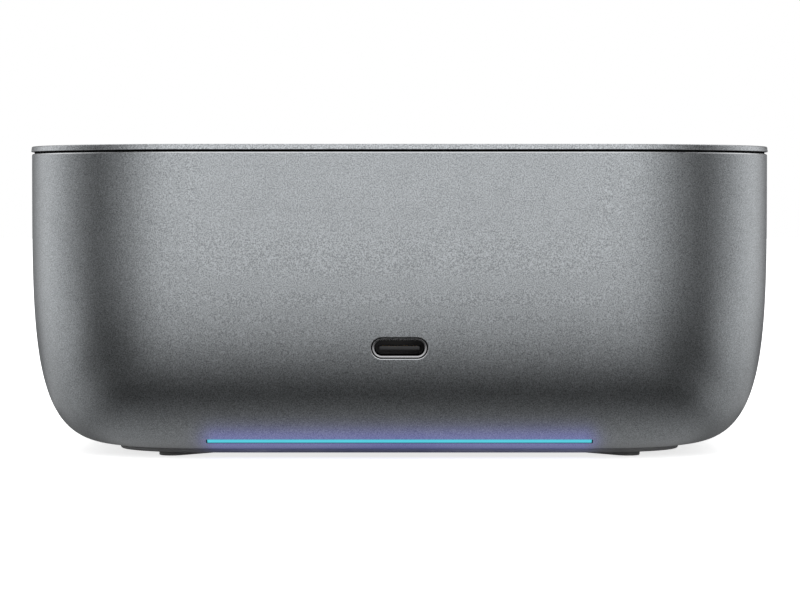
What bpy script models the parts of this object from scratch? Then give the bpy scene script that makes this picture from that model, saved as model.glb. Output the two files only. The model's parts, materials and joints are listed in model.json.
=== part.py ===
"""Laptop docking station, modelled as the pieces it is assembled from.

Metres, +Z up. The origin lies on the surface that the dock stands on, under the middle of the housing.
The front, with the light bar, faces -Y, and the rear panel with its ports faces +Y.
"""

import math
from dataclasses import dataclass
from typing import Callable

import bmesh
import bpy
from mathutils import Matrix, Vector

# Housing: a square bowl whose wall follows one superellipse outside and one inside
BODY_WIDTH = 0.1256
BODY_DEPTH = 0.1256
CORNER_RADIUS = 0.0305
BOWL_HEIGHT = 0.0496
BOWL_SWEEP = 0.025
INNER_SWEEP = 0.016
SIDE_POWER = 4.2
UNDER_POWER = 5.0
WALL = 0.0018
FLOOR = 0.0018
FLOOR_RING = 0.0155
EDGE_INSET = 0.01475
RIM_CHAMFER = 0.0002
LEAST_CORNER = 0.002
POST_RADIUS = 0.0032

# Top plate and the frame that it is bonded to
SEAM = 0.00036
PLATE_EDGE = 0.0009
PLATE_OVERHANG = 0.00012
PLATE_ROUND = 0.0003
DECK_THICK = 0.0014
SKIRT_HEIGHT = 0.0034
SKIRT_THICK = 0.0014
BEAD_BELOW_RIM = 0.0018
BEAD_HALF = 0.0006
BEAD_DEPTH = 0.0004

# Base plate, its air slots and the feet over its screws
BASE_THICK = 0.003
BASE_PROUD = 0.0007
BASE_CHAMFER = 0.0004
SLOT_FIELD = 0.024
SLOT_WIDTH = 0.0022
SLOT_PITCH = 0.0044
SLOT_RIB = 0.004
SLOT_ROWS = 9
FOOT_PROUD = 0.0008
FOOT_POCKET = 0.0007
FOOT_LENGTH = 0.016
FOOT_WIDTH = 0.0042
FOOT_ROUND = 0.00025
FOOT_TURN = math.radians(55)
FOOT_TIP_INSET_X = 0.0092
FOOT_TIP_INSET_Y = 0.0068
SCREW_FROM_TIP = 0.0025

# Light bar in the lower curve of the front
LIGHT_Z = 0.00307
LIGHT_LENGTH = 0.0637
LIGHT_FACE = 0.00105
LIGHT_GAP = 0.0001
LIGHT_SETBACK = 0.00005
GUIDE_FLANGE = 0.0024
GUIDE_FLANGE_THICK = 0.001
GUIDE_TAIL = 0.0015
DIODE_COUNT = 8
DIODE_LENGTH = 0.0016
DIODE_WIDTH = 0.0012
DIODE_HEIGHT = 0.0006
LIGHT_BOARD_WIDTH = 0.0046
LIGHT_BOARD_THICK = 0.001

# Ports: the small reversible kind, on the front and the rear
PORT_Z = 0.0188
PORT_SETBACK = 0.00025
PORT_HOLE_GAP = 0.00026
PORT_HOLE_CHAMFER = 0.00022
SHELL_WALL = 0.0003
SMALL_WIDTH = 0.00834
SMALL_HEIGHT = 0.00256
SMALL_LENGTH = 0.0076
PERIPHERAL_WIDTH = 0.0125
PERIPHERAL_HEIGHT = 0.00512
PERIPHERAL_LENGTH = 0.014
PERIPHERAL_CORNER = 0.0005
PERIPHERAL_COUNT = 3
VIDEO_A_WIDTH = 0.014
VIDEO_A_HEIGHT = 0.00455
VIDEO_A_LENGTH = 0.0112
VIDEO_A_CUT = 0.0019
VIDEO_B_WIDTH = 0.0161
VIDEO_B_HEIGHT = 0.00476
VIDEO_B_LENGTH = 0.0145
VIDEO_B_CUT = 0.0018
JACK_WIDTH = 0.0159
JACK_HEIGHT = 0.0116
JACK_LENGTH = 0.018
JACK_MOUTH_WIDTH = 0.0119
JACK_MOUTH_HEIGHT = 0.0068
JACK_KEY_WIDTH = 0.0061
JACK_KEY_HEIGHT = 0.0016
JACK_ROOF = 0.0016
JACK_DEPTH = 0.0135
CONTACT_COUNT = 8
CONTACT_PITCH = 0.00102
CONTACT_WIDTH = 0.00046
CONTACT_LENGTH = 0.0055
CONTACT_THICK = 0.0004
CONTACT_TILT = math.radians(14)
INLET_WIDTH = 0.0098
INLET_HEIGHT = 0.0108
INLET_LENGTH = 0.0135
INLET_BORE = 0.0039
INLET_DEPTH = 0.0098
INLET_PIN = 0.0006
PORT_SPACING = 0.0036

# Rear panel
PANEL_SHY = 0.0003
PANEL_MARGIN = 0.0026
PANEL_CORNER = 0.003
PANEL_FLANGE = 0.0018
PANEL_FLANGE_THICK = 0.0014
PANEL_BOARD_DROP = 0.0013
VENT_WIDTH = 0.0016
VENT_PITCH = 0.0032
VENT_COUNT = 13
VENT_RISE = 0.0018

# Boards and what links and holds them
BOARD_THICK = 0.0016
BOARD_MARGIN = 0.0018
PORT_BOARD_DEPTH = 0.043
PORT_BOARD_MARGIN = 0.0045
PORT_BOARD_CORNER = 0.003
HEADROOM = 0.0006
COIL_COUNT = 5
COIL_SIZE = 0.006
COIL_HEIGHT = 0.003
COIL_PITCH = 0.0085
LINK_WIDTH = 0.024
LINK_DEPTH = 0.0056
LINK_FROM_EDGE = 0.006
LINK_TONGUE = 0.0022
LINK_ENGAGED = 0.003
SCREW_RADIUS = 0.00125
SCREW_LENGTH = 0.006
HEAD_RADIUS = 0.002
HEAD_HEIGHT = 0.0011
STANDOFF_RADIUS = 0.0029

# Cooling: chip, pad, finned heat sink and fan
CHIP_SIZE = 0.022
CHIP_HEIGHT = 0.0018
PAD_THICK = 0.0008
SINK_DEPTH = 0.042
SINK_BASE = 0.0025
SINK_GAP_TO_BOARD = 0.004
FIN_COUNT = 10
FIN_PITCH = 0.0044
FIN_THICK = 0.0012
FIN_HEIGHT = 0.008
FAN_HEIGHT = 0.01
FAN_CORNER = 0.0024
FAN_RIM = 0.0014
FAN_FLOOR = 0.0012
FAN_STRUT = 0.002
MOTOR_RADIUS = 0.0095
PEG_RADIUS = 0.0007
PEG_LENGTH = 0.004
HUB_RADIUS = 0.0096
HUB_WALL = 0.0012
BLADE_COUNT = 7
BLADE_THICK = 0.0009
BLADE_TIP_GAP = 0.0006
BLADE_ROOT_PITCH = math.radians(52)
BLADE_TIP_PITCH = math.radians(32)
BLADE_RISE = 0.0052
SHAFT_RADIUS = 0.001
BEARING_RADIUS = 0.0026
BEARING_TUBE_WALL = 0.0009
STATOR_POLES = 4
STATOR_HEIGHT = 0.0044
ROTOR_AIR_GAP = 0.0007
SLEEVE_GAP = 0.00008

# Power button on top, and the switch under it
BUTTON_RADIUS = 0.006
BUTTON_GAP = 0.0002
BUTTON_FROM_FRONT = 0.0188
BUTTON_ROUND = 0.00025
BUTTON_LIP = 0.0012
BUTTON_LIP_THICK = 0.0008
BUTTON_TRAVEL = 0.0005
STEM_RADIUS = 0.002
STEM_LENGTH = 0.0016
SWITCH_SIZE = 0.006
SWITCH_HEIGHT = 0.0034
PLUNGER_RADIUS = 0.0017
PLUNGER_SUNK = 0.001
CUP_WALL = 0.002
CUP_PIN_RADIUS = 0.0007
BUTTON_BOARD_THICK = 0.001

# Flat leads from the boards to the fan, the button and the light
LEAD_WIDTH = 0.004
LEAD_THICK = 0.0004
LEAD_SWAY = 0.004
LEAD_ASIDE = 0.012

# Clearances: between seated faces, round a fitted piece and round a moving one
SEAT_GAP = 0.00015
FIT_GAP = 0.0003
RUN_GAP = 0.0003

# Facets
CORNER_STEPS = 8
OUTER_STEPS = 12
INNER_STEPS = 9
ROUND_STEPS = 24
SMALL_ROUND_STEPS = 12
PORT_STEPS = 5
BLADE_STEPS = 3
LEAD_STEPS = 8


def bowl_inset(drop: float, height: float, sweep: float) -> float:
    """How far a bowl's wall has run in at a drop below its rim."""
    return sweep * (1 - (1 - (drop / height) ** SIDE_POWER) ** (1 / UNDER_POWER))


def bowl_drop(inset: float, height: float, sweep: float) -> float:
    """How far below its rim a bowl's wall has run in by an inset."""
    return height * (1 - (1 - inset / sweep) ** UNDER_POWER) ** (1 / SIDE_POWER)


# Heights of the housing
HALF_X = BODY_WIDTH / 2
HALF_Y = BODY_DEPTH / 2
BASE_BOTTOM = FOOT_PROUD
BASE_TOP = BASE_BOTTOM + BASE_THICK
EDGE_Z = BASE_BOTTOM + BASE_PROUD
RIM_Z = EDGE_Z + bowl_drop(EDGE_INSET, BOWL_HEIGHT, BOWL_SWEEP)
SEAT_Z = BASE_TOP + SEAT_GAP
FLOOR_TOP = SEAT_Z + FLOOR
PLATE_Z = RIM_Z + SEAM
TOP_Z = PLATE_Z + PLATE_EDGE
DECK_TOP = PLATE_Z - SEAT_GAP
DECK_BOTTOM = DECK_TOP - DECK_THICK
BEAD_Z = RIM_Z - BEAD_BELOW_RIM

# Base: pockets for the feet, and above them for the heads of the screws
BASE_INSET = EDGE_INSET + FIT_GAP
POCKET_TOP = BASE_BOTTOM + FOOT_POCKET
SCREW_BORE = SCREW_RADIUS + SEAT_GAP
HEAD_POCKET_TOP = POCKET_TOP + HEAD_HEIGHT + 2 * SEAT_GAP

# Boards: the front port sets the height of the main board
BOARD_TOP = PORT_Z - SMALL_HEIGHT / 2 - SHELL_WALL - SEAT_GAP
BOARD_BOTTOM = BOARD_TOP - BOARD_THICK
POST_TOP = BOARD_BOTTOM - SEAT_GAP
LOWER_HEIGHTS = (
    INLET_HEIGHT,
    SMALL_HEIGHT + 2 * SHELL_WALL,
    VIDEO_A_HEIGHT + 2 * SHELL_WALL,
    VIDEO_B_HEIGHT + 2 * SHELL_WALL,
)
PORT_BOARD_BOTTOM = BOARD_TOP + SEAT_GAP + max(LOWER_HEIGHTS) + HEADROOM
PORT_BOARD_TOP = PORT_BOARD_BOTTOM + BOARD_THICK
UPPER_HEIGHT = max(JACK_HEIGHT, PERIPHERAL_HEIGHT + 2 * SHELL_WALL)

Loop = list[tuple[float, float]]
Ring = list[Vector]


def outer_inset(z: float) -> float:
    """Inset of the housing's outer face at a height."""
    return bowl_inset(RIM_Z - z, BOWL_HEIGHT, BOWL_SWEEP)


def inner_inset(z: float) -> float:
    """Inset of the housing's inner face at a height."""
    return WALL + bowl_inset(RIM_Z - z, RIM_Z - FLOOR_TOP, INNER_SWEEP)


def reach_back(x: float, inset: float) -> float:
    """Distance from the middle to the rear of the outline that lies an inset inside the rim's, at x."""
    past_straight = max(abs(x) - (HALF_X - CORNER_RADIUS), 0)
    return HALF_Y - CORNER_RADIUS + math.sqrt((CORNER_RADIUS - inset) ** 2 - past_straight**2)


# Rows of ports, as outer widths from left to right seen from the front
LOWER_ROW = {
    "power_inlet": INLET_WIDTH,
    "host_port": SMALL_WIDTH + 2 * SHELL_WALL,
    "device_port": SMALL_WIDTH + 2 * SHELL_WALL,
    "video_port_a": VIDEO_A_WIDTH + 2 * SHELL_WALL,
    "video_port_b": VIDEO_B_WIDTH + 2 * SHELL_WALL,
}
UPPER_ROW = {"network_jack": JACK_WIDTH}
for number in range(1, PERIPHERAL_COUNT + 1):
    UPPER_ROW[f"peripheral_port_{number}"] = PERIPHERAL_WIDTH + 2 * SHELL_WALL


def row_width(row: dict[str, float]) -> float:
    """Width of a row of ports from end to end."""
    return sum(row.values()) + PORT_SPACING * (len(row) - 1)


def row_places(row: dict[str, float]) -> dict[str, float]:
    """The middle of each port in a row that is centred on the dock."""
    places = {}
    left = -row_width(row) / 2
    for name, width in row.items():
        places[name] = left + width / 2
        left += width + PORT_SPACING
    return places


# Rear panel: its face stays inside the housing's skin at its lower corners
PANEL_HALF = max(row_width(LOWER_ROW), row_width(UPPER_ROW)) / 2 + PANEL_MARGIN
PANEL_LOW = BOARD_TOP - PANEL_BOARD_DROP
PANEL_HIGH = PORT_BOARD_TOP + SEAT_GAP + UPPER_HEIGHT + PANEL_MARGIN / 2
PANEL_MIDDLE = (PANEL_LOW + PANEL_HIGH) / 2
PANEL_FACE = reach_back(PANEL_HALF, outer_inset(PANEL_LOW)) - PANEL_SHY
PANEL_SEAT = reach_back(PANEL_HALF + PANEL_FLANGE, inner_inset(PANEL_LOW - PANEL_FLANGE)) - FIT_GAP
PANEL_BACK = PANEL_SEAT - PANEL_FLANGE_THICK
PORT_MOUTH = PANEL_FACE - SEAT_GAP
BOARD_REAR = PANEL_BACK - FIT_GAP
PORT_BOARD_FRONT = BOARD_REAR - PORT_BOARD_DEPTH

# Posts stand over the outer ends of the feet, the rear ones also clear of the network jack
POST_X = HALF_X - BASE_INSET - FOOT_TIP_INSET_X - SCREW_FROM_TIP * math.cos(FOOT_TURN)
POST_FRONT = HALF_Y - BASE_INSET - FOOT_TIP_INSET_Y - SCREW_FROM_TIP * math.sin(FOOT_TURN)
POST_REAR = min(POST_FRONT, PORT_MOUTH - JACK_LENGTH - HEAD_RADIUS - FIT_GAP)

# Cooling stack on the main board, in front of the port board
CHIP_BOTTOM = BOARD_TOP + SEAT_GAP
PAD_BOTTOM = CHIP_BOTTOM + CHIP_HEIGHT + SEAT_GAP
SINK_BOTTOM = PAD_BOTTOM + PAD_THICK + SEAT_GAP
FAN_Z = SINK_BOTTOM + SINK_BASE + FIN_HEIGHT + FIT_GAP
COOLING_Y = PORT_BOARD_FRONT - SINK_GAP_TO_BOARD - SINK_DEPTH / 2
PEG_PLACE = FIN_PITCH * (FIN_COUNT / 2 - 1)
FAN_HALF = PEG_PLACE + FAN_CORNER
FAN_BORE = FAN_HALF - FAN_RIM
BEARING_TUBE_BORE = BEARING_RADIUS + SEAT_GAP
BEARING_TUBE = BEARING_TUBE_BORE + BEARING_TUBE_WALL
HUB_BOTTOM = FAN_FLOOR + ROTOR_AIR_GAP
HUB_TOP = FAN_HEIGHT - ROTOR_AIR_GAP
BEARING_TOP = HUB_TOP - HUB_WALL - ROTOR_AIR_GAP

# Power button stack, from the top down
BUTTON_Y = -(HALF_Y - BUTTON_FROM_FRONT)
LIP_TOP = PLATE_Z - RUN_GAP
LIP_BOTTOM = LIP_TOP - BUTTON_LIP_THICK
STEM_BOTTOM = LIP_BOTTOM - STEM_LENGTH
PLUNGER_TOP = STEM_BOTTOM - SEAT_GAP
SWITCH_TOP = PLUNGER_TOP - BUTTON_TRAVEL - RUN_GAP
SWITCH_BOTTOM = SWITCH_TOP - SWITCH_HEIGHT
BUTTON_BOARD_TOP = SWITCH_BOTTOM - SEAT_GAP
WELL_RADIUS = BUTTON_RADIUS + BUTTON_LIP + RUN_GAP
CUP_RADIUS = WELL_RADIUS + CUP_WALL
CUP_BOTTOM = BUTTON_BOARD_TOP + SEAT_GAP

QUARTERS = ((1, 1), (-1, 1), (-1, -1), (1, -1))
CORNER_NAMES = {(1, 1): "rear_right", (-1, 1): "rear_left", (-1, -1): "front_left", (1, -1): "front_right"}


def distinct(loop: Loop) -> Loop:
    """A closed loop without points that repeat the one before them."""
    kept = []
    for point in loop:
        if not kept or math.dist(point, kept[-1]) > 1e-7:
            kept.append(point)
    if math.dist(kept[0], kept[-1]) < 1e-7:
        kept.pop()
    return kept


def rounded_loop(half_x: float, half_y: float, radius: float, steps: int = CORNER_STEPS) -> Loop:
    """A rectangle with round corners, centred on the origin."""
    points = []
    for quarter, (side_x, side_y) in enumerate(QUARTERS):
        for step in range(steps + 1):
            angle = math.pi / 2 * (quarter + step / steps)
            x = side_x * (half_x - radius) + radius * math.cos(angle)
            y = side_y * (half_y - radius) + radius * math.sin(angle)
            points.append((x, y))
    return distinct(points)


def box_loop(half_x: float, half_y: float) -> Loop:
    """A plain rectangle, centred on the origin."""
    return [(side_x * half_x, side_y * half_y) for side_x, side_y in QUARTERS]


def cut_corner_loop(half_x: float, half_y: float, cuts: tuple[float, ...]) -> Loop:
    """A rectangle whose corners, in the order of QUARTERS, are cut off at 45 degrees."""
    points = []
    for index, (side_x, side_y) in enumerate(QUARTERS):
        along_x = (side_x * (half_x - cuts[index]), side_y * half_y)
        along_y = (side_x * half_x, side_y * (half_y - cuts[index]))
        points += [along_x, along_y] if side_x * side_y < 0 else [along_y, along_x]
    return distinct(points)


def circle(radius: float, steps: int = ROUND_STEPS) -> Loop:
    """A regular polygon standing for a circle round the origin."""
    turns = [2 * math.pi * step / steps for step in range(steps)]
    return [(radius * math.cos(turn), radius * math.sin(turn)) for turn in turns]


def hexagon(radius: float) -> Loop:
    """A hexagon with a point in the middle of each side, so that it pairs with a small circle."""
    points = []
    for step in range(SMALL_ROUND_STEPS):
        reach = radius if step % 2 == 0 else radius * math.cos(math.pi / 6)
        turn = 2 * math.pi * step / SMALL_ROUND_STEPS
        points.append((reach * math.cos(turn), reach * math.sin(turn)))
    return points


def finer(loop: Loop, longest: float) -> Loop:
    """A loop with its long edges split into equal lengths."""
    points = []
    for start, end in zip(loop, loop[1:] + loop[:1]):
        count = math.ceil(math.dist(start, end) / longest)
        for step in range(count):
            share = step / count
            points.append((start[0] + (end[0] - start[0]) * share, start[1] + (end[1] - start[1]) * share))
    return points


def shifted(loop: Loop, x: float, y: float) -> Loop:
    """A loop moved in its own plane."""
    return [(px + x, py + y) for px, py in loop]


def level(loop: Loop, z: float) -> Ring:
    """A loop laid flat at a height."""
    return [Vector((x, y, z)) for x, y in loop]


def upright(loop: Loop, y: float) -> Ring:
    """A loop stood up facing along Y, its second coordinate as height."""
    return [Vector((x, y, z)) for x, z in loop]


def bowl_ring(inset: float, z: float) -> Ring:
    """The housing's outline at a height, drawn in by an inset all round."""
    corner = max(CORNER_RADIUS - inset, LEAST_CORNER)
    return level(rounded_loop(HALF_X - inset, HALF_Y - inset, corner), z)


def add_skin(shape: bmesh.types.BMesh, rings: list[Ring], looped: bool) -> None:
    """Joins rings of equal count into one closed skin, capped at both ends or looped back to the first."""
    rows = [[shape.verts.new(point) for point in ring] for ring in rings]
    pairs = list(zip(rows, rows[1:]))
    if looped:
        pairs.append((rows[-1], rows[0]))
    else:
        shape.faces.new(rows[0])
        shape.faces.new(rows[-1])
    for near, far in pairs:
        for index in range(len(near)):
            after = (index + 1) % len(near)
            shape.faces.new((near[index], near[after], far[after], far[index]))


def solid(name: str, skins: list[list[Ring]], look=None, looped: bool = False) -> bpy.types.Object:
    """An object made of one or more closed skins, with its faces pointing out."""
    shape = bmesh.new()
    for rings in skins:
        add_skin(shape, rings, looped)
    bmesh.ops.recalc_face_normals(shape, faces=shape.faces)
    mesh = bpy.data.meshes.new(name)
    shape.to_mesh(mesh)
    shape.free()
    mesh.shade_smooth()
    mesh.set_sharp_from_angle(angle=math.radians(30))
    if look:
        mesh.materials.append(look)
    made = bpy.data.objects.new(name, mesh)
    bpy.context.scene.collection.objects.link(made)
    return made


def prism(loop: Loop, low: float, high: float) -> list[Ring]:
    """The rings of an upright prism."""
    return [level(loop, low), level(loop, high)]


def drilled(loop: Loop, near: float, far: float) -> list[Ring]:
    """The rings of a prism that lies along Y."""
    return [upright(loop, near), upright(loop, far)]


def turned(profile: Loop, steps: int = SMALL_ROUND_STEPS) -> list[Ring]:
    """The rings of a shape turned about Z, from (radius, z) pairs."""
    return [level(circle(radius, steps), z) for radius, z in profile]


def boolean(target: bpy.types.Object, tool: bpy.types.Object, operation: str) -> None:
    """Adds a Boolean to a piece and keeps the tool out of the model."""
    tool.hide_render = True
    tool.display_type = "WIRE"
    step = target.modifiers.new(tool.name, "BOOLEAN")
    step.operation = operation
    step.solver = "EXACT"
    step.object = tool


def cut(target: bpy.types.Object, name: str, skins: list[list[Ring]]) -> bpy.types.Object:
    """Cuts closed skins out of a piece and returns the tool."""
    tool = solid(f"cut_{name}", skins)
    boolean(target, tool, "DIFFERENCE")
    return tool


def fuse(target: bpy.types.Object, name: str, skins: list[list[Ring]]) -> bpy.types.Object:
    """Joins closed skins to a piece and returns the tool."""
    tool = solid(f"add_{name}", skins)
    boolean(target, tool, "UNION")
    return tool


def place(piece: bpy.types.Object, x: float = 0, y: float = 0, z: float = 0, turn: float = 0) -> None:
    """Puts a piece, and the tools that shape it, at a place, turned about Z."""
    where = Matrix.Translation((x, y, z)) @ Matrix.Rotation(turn, 4, "Z")
    for item in [piece] + [step.object for step in piece.modifiers if step.type == "BOOLEAN"]:
        item.matrix_world = where


def finish(name: str, colour: tuple[float, float, float], roughness: float, metallic: float = 0.0):
    """A Principled material in linear colour."""
    made = bpy.data.materials.new(name)
    made.use_nodes = True
    shader = made.node_tree.nodes["Principled BSDF"]
    shader.inputs["Base Color"].default_value = (*colour, 1)
    shader.inputs["Roughness"].default_value = roughness
    shader.inputs["Metallic"].default_value = metallic
    return made


def post_place(side_x: int, side_y: int) -> tuple[float, float]:
    """Where the post of a corner stands, with the screws above and below it."""
    return side_x * POST_X, POST_REAR if side_y > 0 else -POST_FRONT


def post_places() -> list[tuple[float, float]]:
    """Where the four posts stand."""
    return [post_place(*corner) for corner in QUARTERS]


# Housing


def shell_section() -> Loop:
    """The shell's wall as (inset, z) pairs: down the outside, round the base's seat and up the inside."""
    last = math.acos((1 - EDGE_INSET / BOWL_SWEEP) ** (UNDER_POWER / 2))
    outside = []
    for step in range(1, OUTER_STEPS + 1):
        angle = last * step / OUTER_STEPS
        inset = BOWL_SWEEP * (1 - math.cos(angle) ** (2 / UNDER_POWER))
        outside.append((inset, RIM_Z - BOWL_HEIGHT * math.sin(angle) ** (2 / SIDE_POWER)))
    hole_inset = EDGE_INSET + FLOOR_RING
    seat = [(EDGE_INSET, SEAT_Z), (hole_inset, SEAT_Z), (hole_inset, FLOOR_TOP)]
    inside = []
    for step in range(INNER_STEPS, 0, -1):
        angle = math.pi / 2 * step / INNER_STEPS
        inset = WALL + INNER_SWEEP * (1 - math.cos(angle) ** (2 / UNDER_POWER))
        inside.append((inset, RIM_Z - (RIM_Z - FLOOR_TOP) * math.sin(angle) ** (2 / SIDE_POWER)))
    groove = [(WALL, BEAD_Z - BEAD_HALF), (WALL - BEAD_DEPTH, BEAD_Z), (WALL, BEAD_Z + BEAD_HALF)]
    rim = [(WALL, RIM_Z), (RIM_CHAMFER, RIM_Z), (0, RIM_Z - RIM_CHAMFER)]
    return outside + seat + inside + groove + rim


def front_skin(z: float) -> float:
    """Y of the housing's front face at a height, on the middle line."""
    return -(HALF_Y - outer_inset(z))


def port_hole() -> list[Ring]:
    """The cutter of the front port's hole, flared to chamfer its rim and leaning with the skin."""
    grow = SHELL_WALL + PORT_HOLE_GAP
    outside = 2 * PORT_HOLE_CHAMFER
    stations = (
        (-outside, grow + PORT_HOLE_CHAMFER + outside),
        (PORT_HOLE_CHAMFER, grow),
        (SMALL_LENGTH, grow),
    )
    rings = []
    for depth, wider in stations:
        outline = shifted(small_outline(wider), 0, PORT_Z)
        rings.append([Vector((x, front_skin(z) + depth, z)) for x, z in outline])
    return rings


def light_frame() -> Matrix:
    """Frame of the light bar: origin on the skin, +Y straight into the housing, square to the skin."""
    step = BASE_CHAMFER / 8
    slope = (outer_inset(LIGHT_Z + step) - outer_inset(LIGHT_Z - step)) / (2 * step)
    tilt = math.atan2(-slope, 1)
    return Matrix.Translation((0, front_skin(LIGHT_Z), LIGHT_Z)) @ Matrix.Rotation(tilt, 4, "X")


def light_neck() -> float:
    """How far into the housing the light bar runs before its flange is clear of the inner wall."""
    frame = light_frame()
    edge = (GUIDE_FLANGE + FIT_GAP) / 2
    depth = 0.0
    clear = False
    while not clear:
        depth += FIT_GAP / 2
        corners = [frame @ Vector((0, depth, side * edge)) for side in (-1, 1)]
        clear = all(p.z > FLOOR_TOP + FIT_GAP and -p.y < HALF_Y - inner_inset(p.z) - FIT_GAP for p in corners)
    return depth


def build_housing(look) -> None:
    """The bowl with its board posts, rear opening, port hole and light slot."""
    rings = [bowl_ring(inset, z) for inset, z in shell_section()]
    shell = solid("housing_shell", [rings], look, looped=True)
    places = post_places()
    post = circle(POST_RADIUS, SMALL_ROUND_STEPS)
    fuse(shell, "posts", [prism(shifted(post, x, y), SEAT_Z + FLOOR / 2, POST_TOP) for x, y in places])
    bore = circle(SCREW_BORE, SMALL_ROUND_STEPS)
    cut(shell, "post_bores", [prism(shifted(bore, x, y), SEAT_Z - FLOOR, POST_TOP + FLOOR) for x, y in places])
    opening = rounded_loop(PANEL_HALF, (PANEL_HIGH - PANEL_LOW) / 2, PANEL_CORNER, PORT_STEPS)
    cut(shell, "rear_opening", [drilled(shifted(opening, 0, PANEL_MIDDLE), PANEL_BACK - WALL, HALF_Y + WALL)])
    cut(shell, "front_port", [port_hole()])
    slot = box_loop(LIGHT_LENGTH / 2 + LIGHT_GAP, LIGHT_FACE / 2 + LIGHT_GAP)
    tool = cut(shell, "light_slot", [drilled(slot, -WALL, light_neck())])
    tool.matrix_world = light_frame()


def light_board_face() -> float:
    """How far into the housing the light board's face lies, behind the guide and the diodes."""
    return light_neck() + GUIDE_FLANGE_THICK + GUIDE_TAIL + SEAT_GAP + DIODE_HEIGHT


def build_light(guide_look, board_look) -> None:
    """The light guide in its slot and the board of diodes behind it, both square to the skin."""
    neck = light_neck()
    tail = neck + GUIDE_FLANGE_THICK
    face = box_loop(LIGHT_LENGTH / 2, LIGHT_FACE / 2)
    flange = box_loop(LIGHT_LENGTH / 2, GUIDE_FLANGE / 2)
    back = box_loop(LIGHT_LENGTH / 2, DIODE_WIDTH / 2)
    rings = [
        upright(face, LIGHT_SETBACK),
        upright(face, neck),
        upright(flange, neck),
        upright(flange, tail),
        upright(back, tail),
        upright(back, tail + GUIDE_TAIL),
    ]
    guide = solid("light_guide", [rings], guide_look)
    guide.matrix_world = light_frame()

    board_face = light_board_face()
    diode_face = board_face - DIODE_HEIGHT
    strip = box_loop(LIGHT_LENGTH / 2, LIGHT_BOARD_WIDTH / 2)
    board = solid("light_board", [drilled(strip, board_face, board_face + LIGHT_BOARD_THICK)], board_look)
    pitch = LIGHT_LENGTH / DIODE_COUNT
    diode = box_loop(DIODE_LENGTH / 2, DIODE_WIDTH / 2)
    diodes = []
    for index in range(DIODE_COUNT):
        x = (index - (DIODE_COUNT - 1) / 2) * pitch
        diodes.append(drilled(shifted(diode, x, 0), diode_face, board_face + LIGHT_BOARD_THICK / 2))
    tool = fuse(board, "diodes", diodes)
    board.matrix_world = light_frame()
    tool.matrix_world = light_frame()


def build_top(plate_look, frame_look) -> None:
    """The top plate, and the frame under it that snaps into the rim and holds the button's cup."""
    edge = -PLATE_OVERHANG
    stations = (
        (edge, PLATE_Z),
        (edge, TOP_Z - PLATE_ROUND),
        (edge + PLATE_ROUND * (1 - math.sqrt(0.5)), TOP_Z - PLATE_ROUND * (1 - math.sqrt(0.5))),
        (edge + PLATE_ROUND, TOP_Z),
    )
    plate = solid("top_plate", [[bowl_ring(inset, z) for inset, z in stations]], plate_look)
    hole = shifted(circle(BUTTON_RADIUS + BUTTON_GAP), 0, BUTTON_Y)
    cut(plate, "button_hole", [prism(hole, PLATE_Z - SEAM, TOP_Z + SEAM)])

    side = WALL + SEAT_GAP
    skirt_bottom = RIM_Z - SKIRT_HEIGHT
    inner = side + SKIRT_THICK
    section = (
        (side, DECK_TOP),
        (side, BEAD_Z + BEAD_HALF),
        (side - BEAD_DEPTH, BEAD_Z),
        (side, BEAD_Z - BEAD_HALF),
        (side, skirt_bottom),
        (inner, skirt_bottom),
        (inner, DECK_BOTTOM),
    )
    frame = solid("top_frame", [[bowl_ring(inset, z) for inset, z in section]], frame_look)
    cup = shifted(circle(CUP_RADIUS), 0, BUTTON_Y)
    fuse(frame, "button_cup", [prism(cup, CUP_BOTTOM, DECK_TOP - DECK_THICK / 2)])
    well = shifted(circle(WELL_RADIUS), 0, BUTTON_Y)
    cut(frame, "button_well", [prism(well, CUP_BOTTOM - DECK_THICK, DECK_TOP + DECK_THICK)])
    pins = []
    for x, y in cup_pin_places():
        pin = shifted(circle(CUP_PIN_RADIUS, SMALL_ROUND_STEPS), x, y)
        pins.append(prism(pin, BUTTON_BOARD_TOP - BUTTON_BOARD_THICK - FIT_GAP, CUP_BOTTOM + CUP_WALL))
    fuse(frame, "cup_pins", pins)


def cup_pin_places() -> list[tuple[float, float]]:
    """Where the two pins stand that locate the button's board under its cup."""
    reach = (WELL_RADIUS + CUP_RADIUS) / 2
    return [(side * reach, BUTTON_Y) for side in (-1, 1)]


def foot_turn(side_x: int, side_y: int) -> float:
    """Direction of a foot's length, out towards its corner."""
    return math.atan2(side_y * math.sin(FOOT_TURN), side_x * math.cos(FOOT_TURN))


def foot_centre(side_x: int, side_y: int) -> tuple[float, float]:
    """The middle of a foot, which runs inwards from the post that it lies under."""
    back = (FOOT_LENGTH - FOOT_WIDTH) / 2 - SCREW_FROM_TIP
    x, y = post_place(side_x, side_y)
    return x - side_x * back * math.cos(FOOT_TURN), y - side_y * back * math.sin(FOOT_TURN)


def foot_outline(grow: float) -> Loop:
    """A foot's capsule along X, grown all round."""
    half_width = FOOT_WIDTH / 2 + grow
    return rounded_loop(FOOT_LENGTH / 2 + grow, half_width, half_width, PORT_STEPS)


def base_slots() -> list[list[Ring]]:
    """Cutters of the air slots: rows in a round field, parted by a rib."""
    slots = []
    for row in range(SLOT_ROWS):
        y = (row - (SLOT_ROWS - 1) / 2) * SLOT_PITCH
        length = math.sqrt(SLOT_FIELD**2 - y**2) - SLOT_RIB / 2
        outline = rounded_loop(length / 2, SLOT_WIDTH / 2, SLOT_WIDTH / 2, 2)
        for side in (-1, 1):
            middle = side * (SLOT_RIB + length) / 2
            slots.append(prism(shifted(outline, middle, y), BASE_BOTTOM - BASE_PROUD, BASE_TOP + BASE_PROUD))
    return slots


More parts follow.
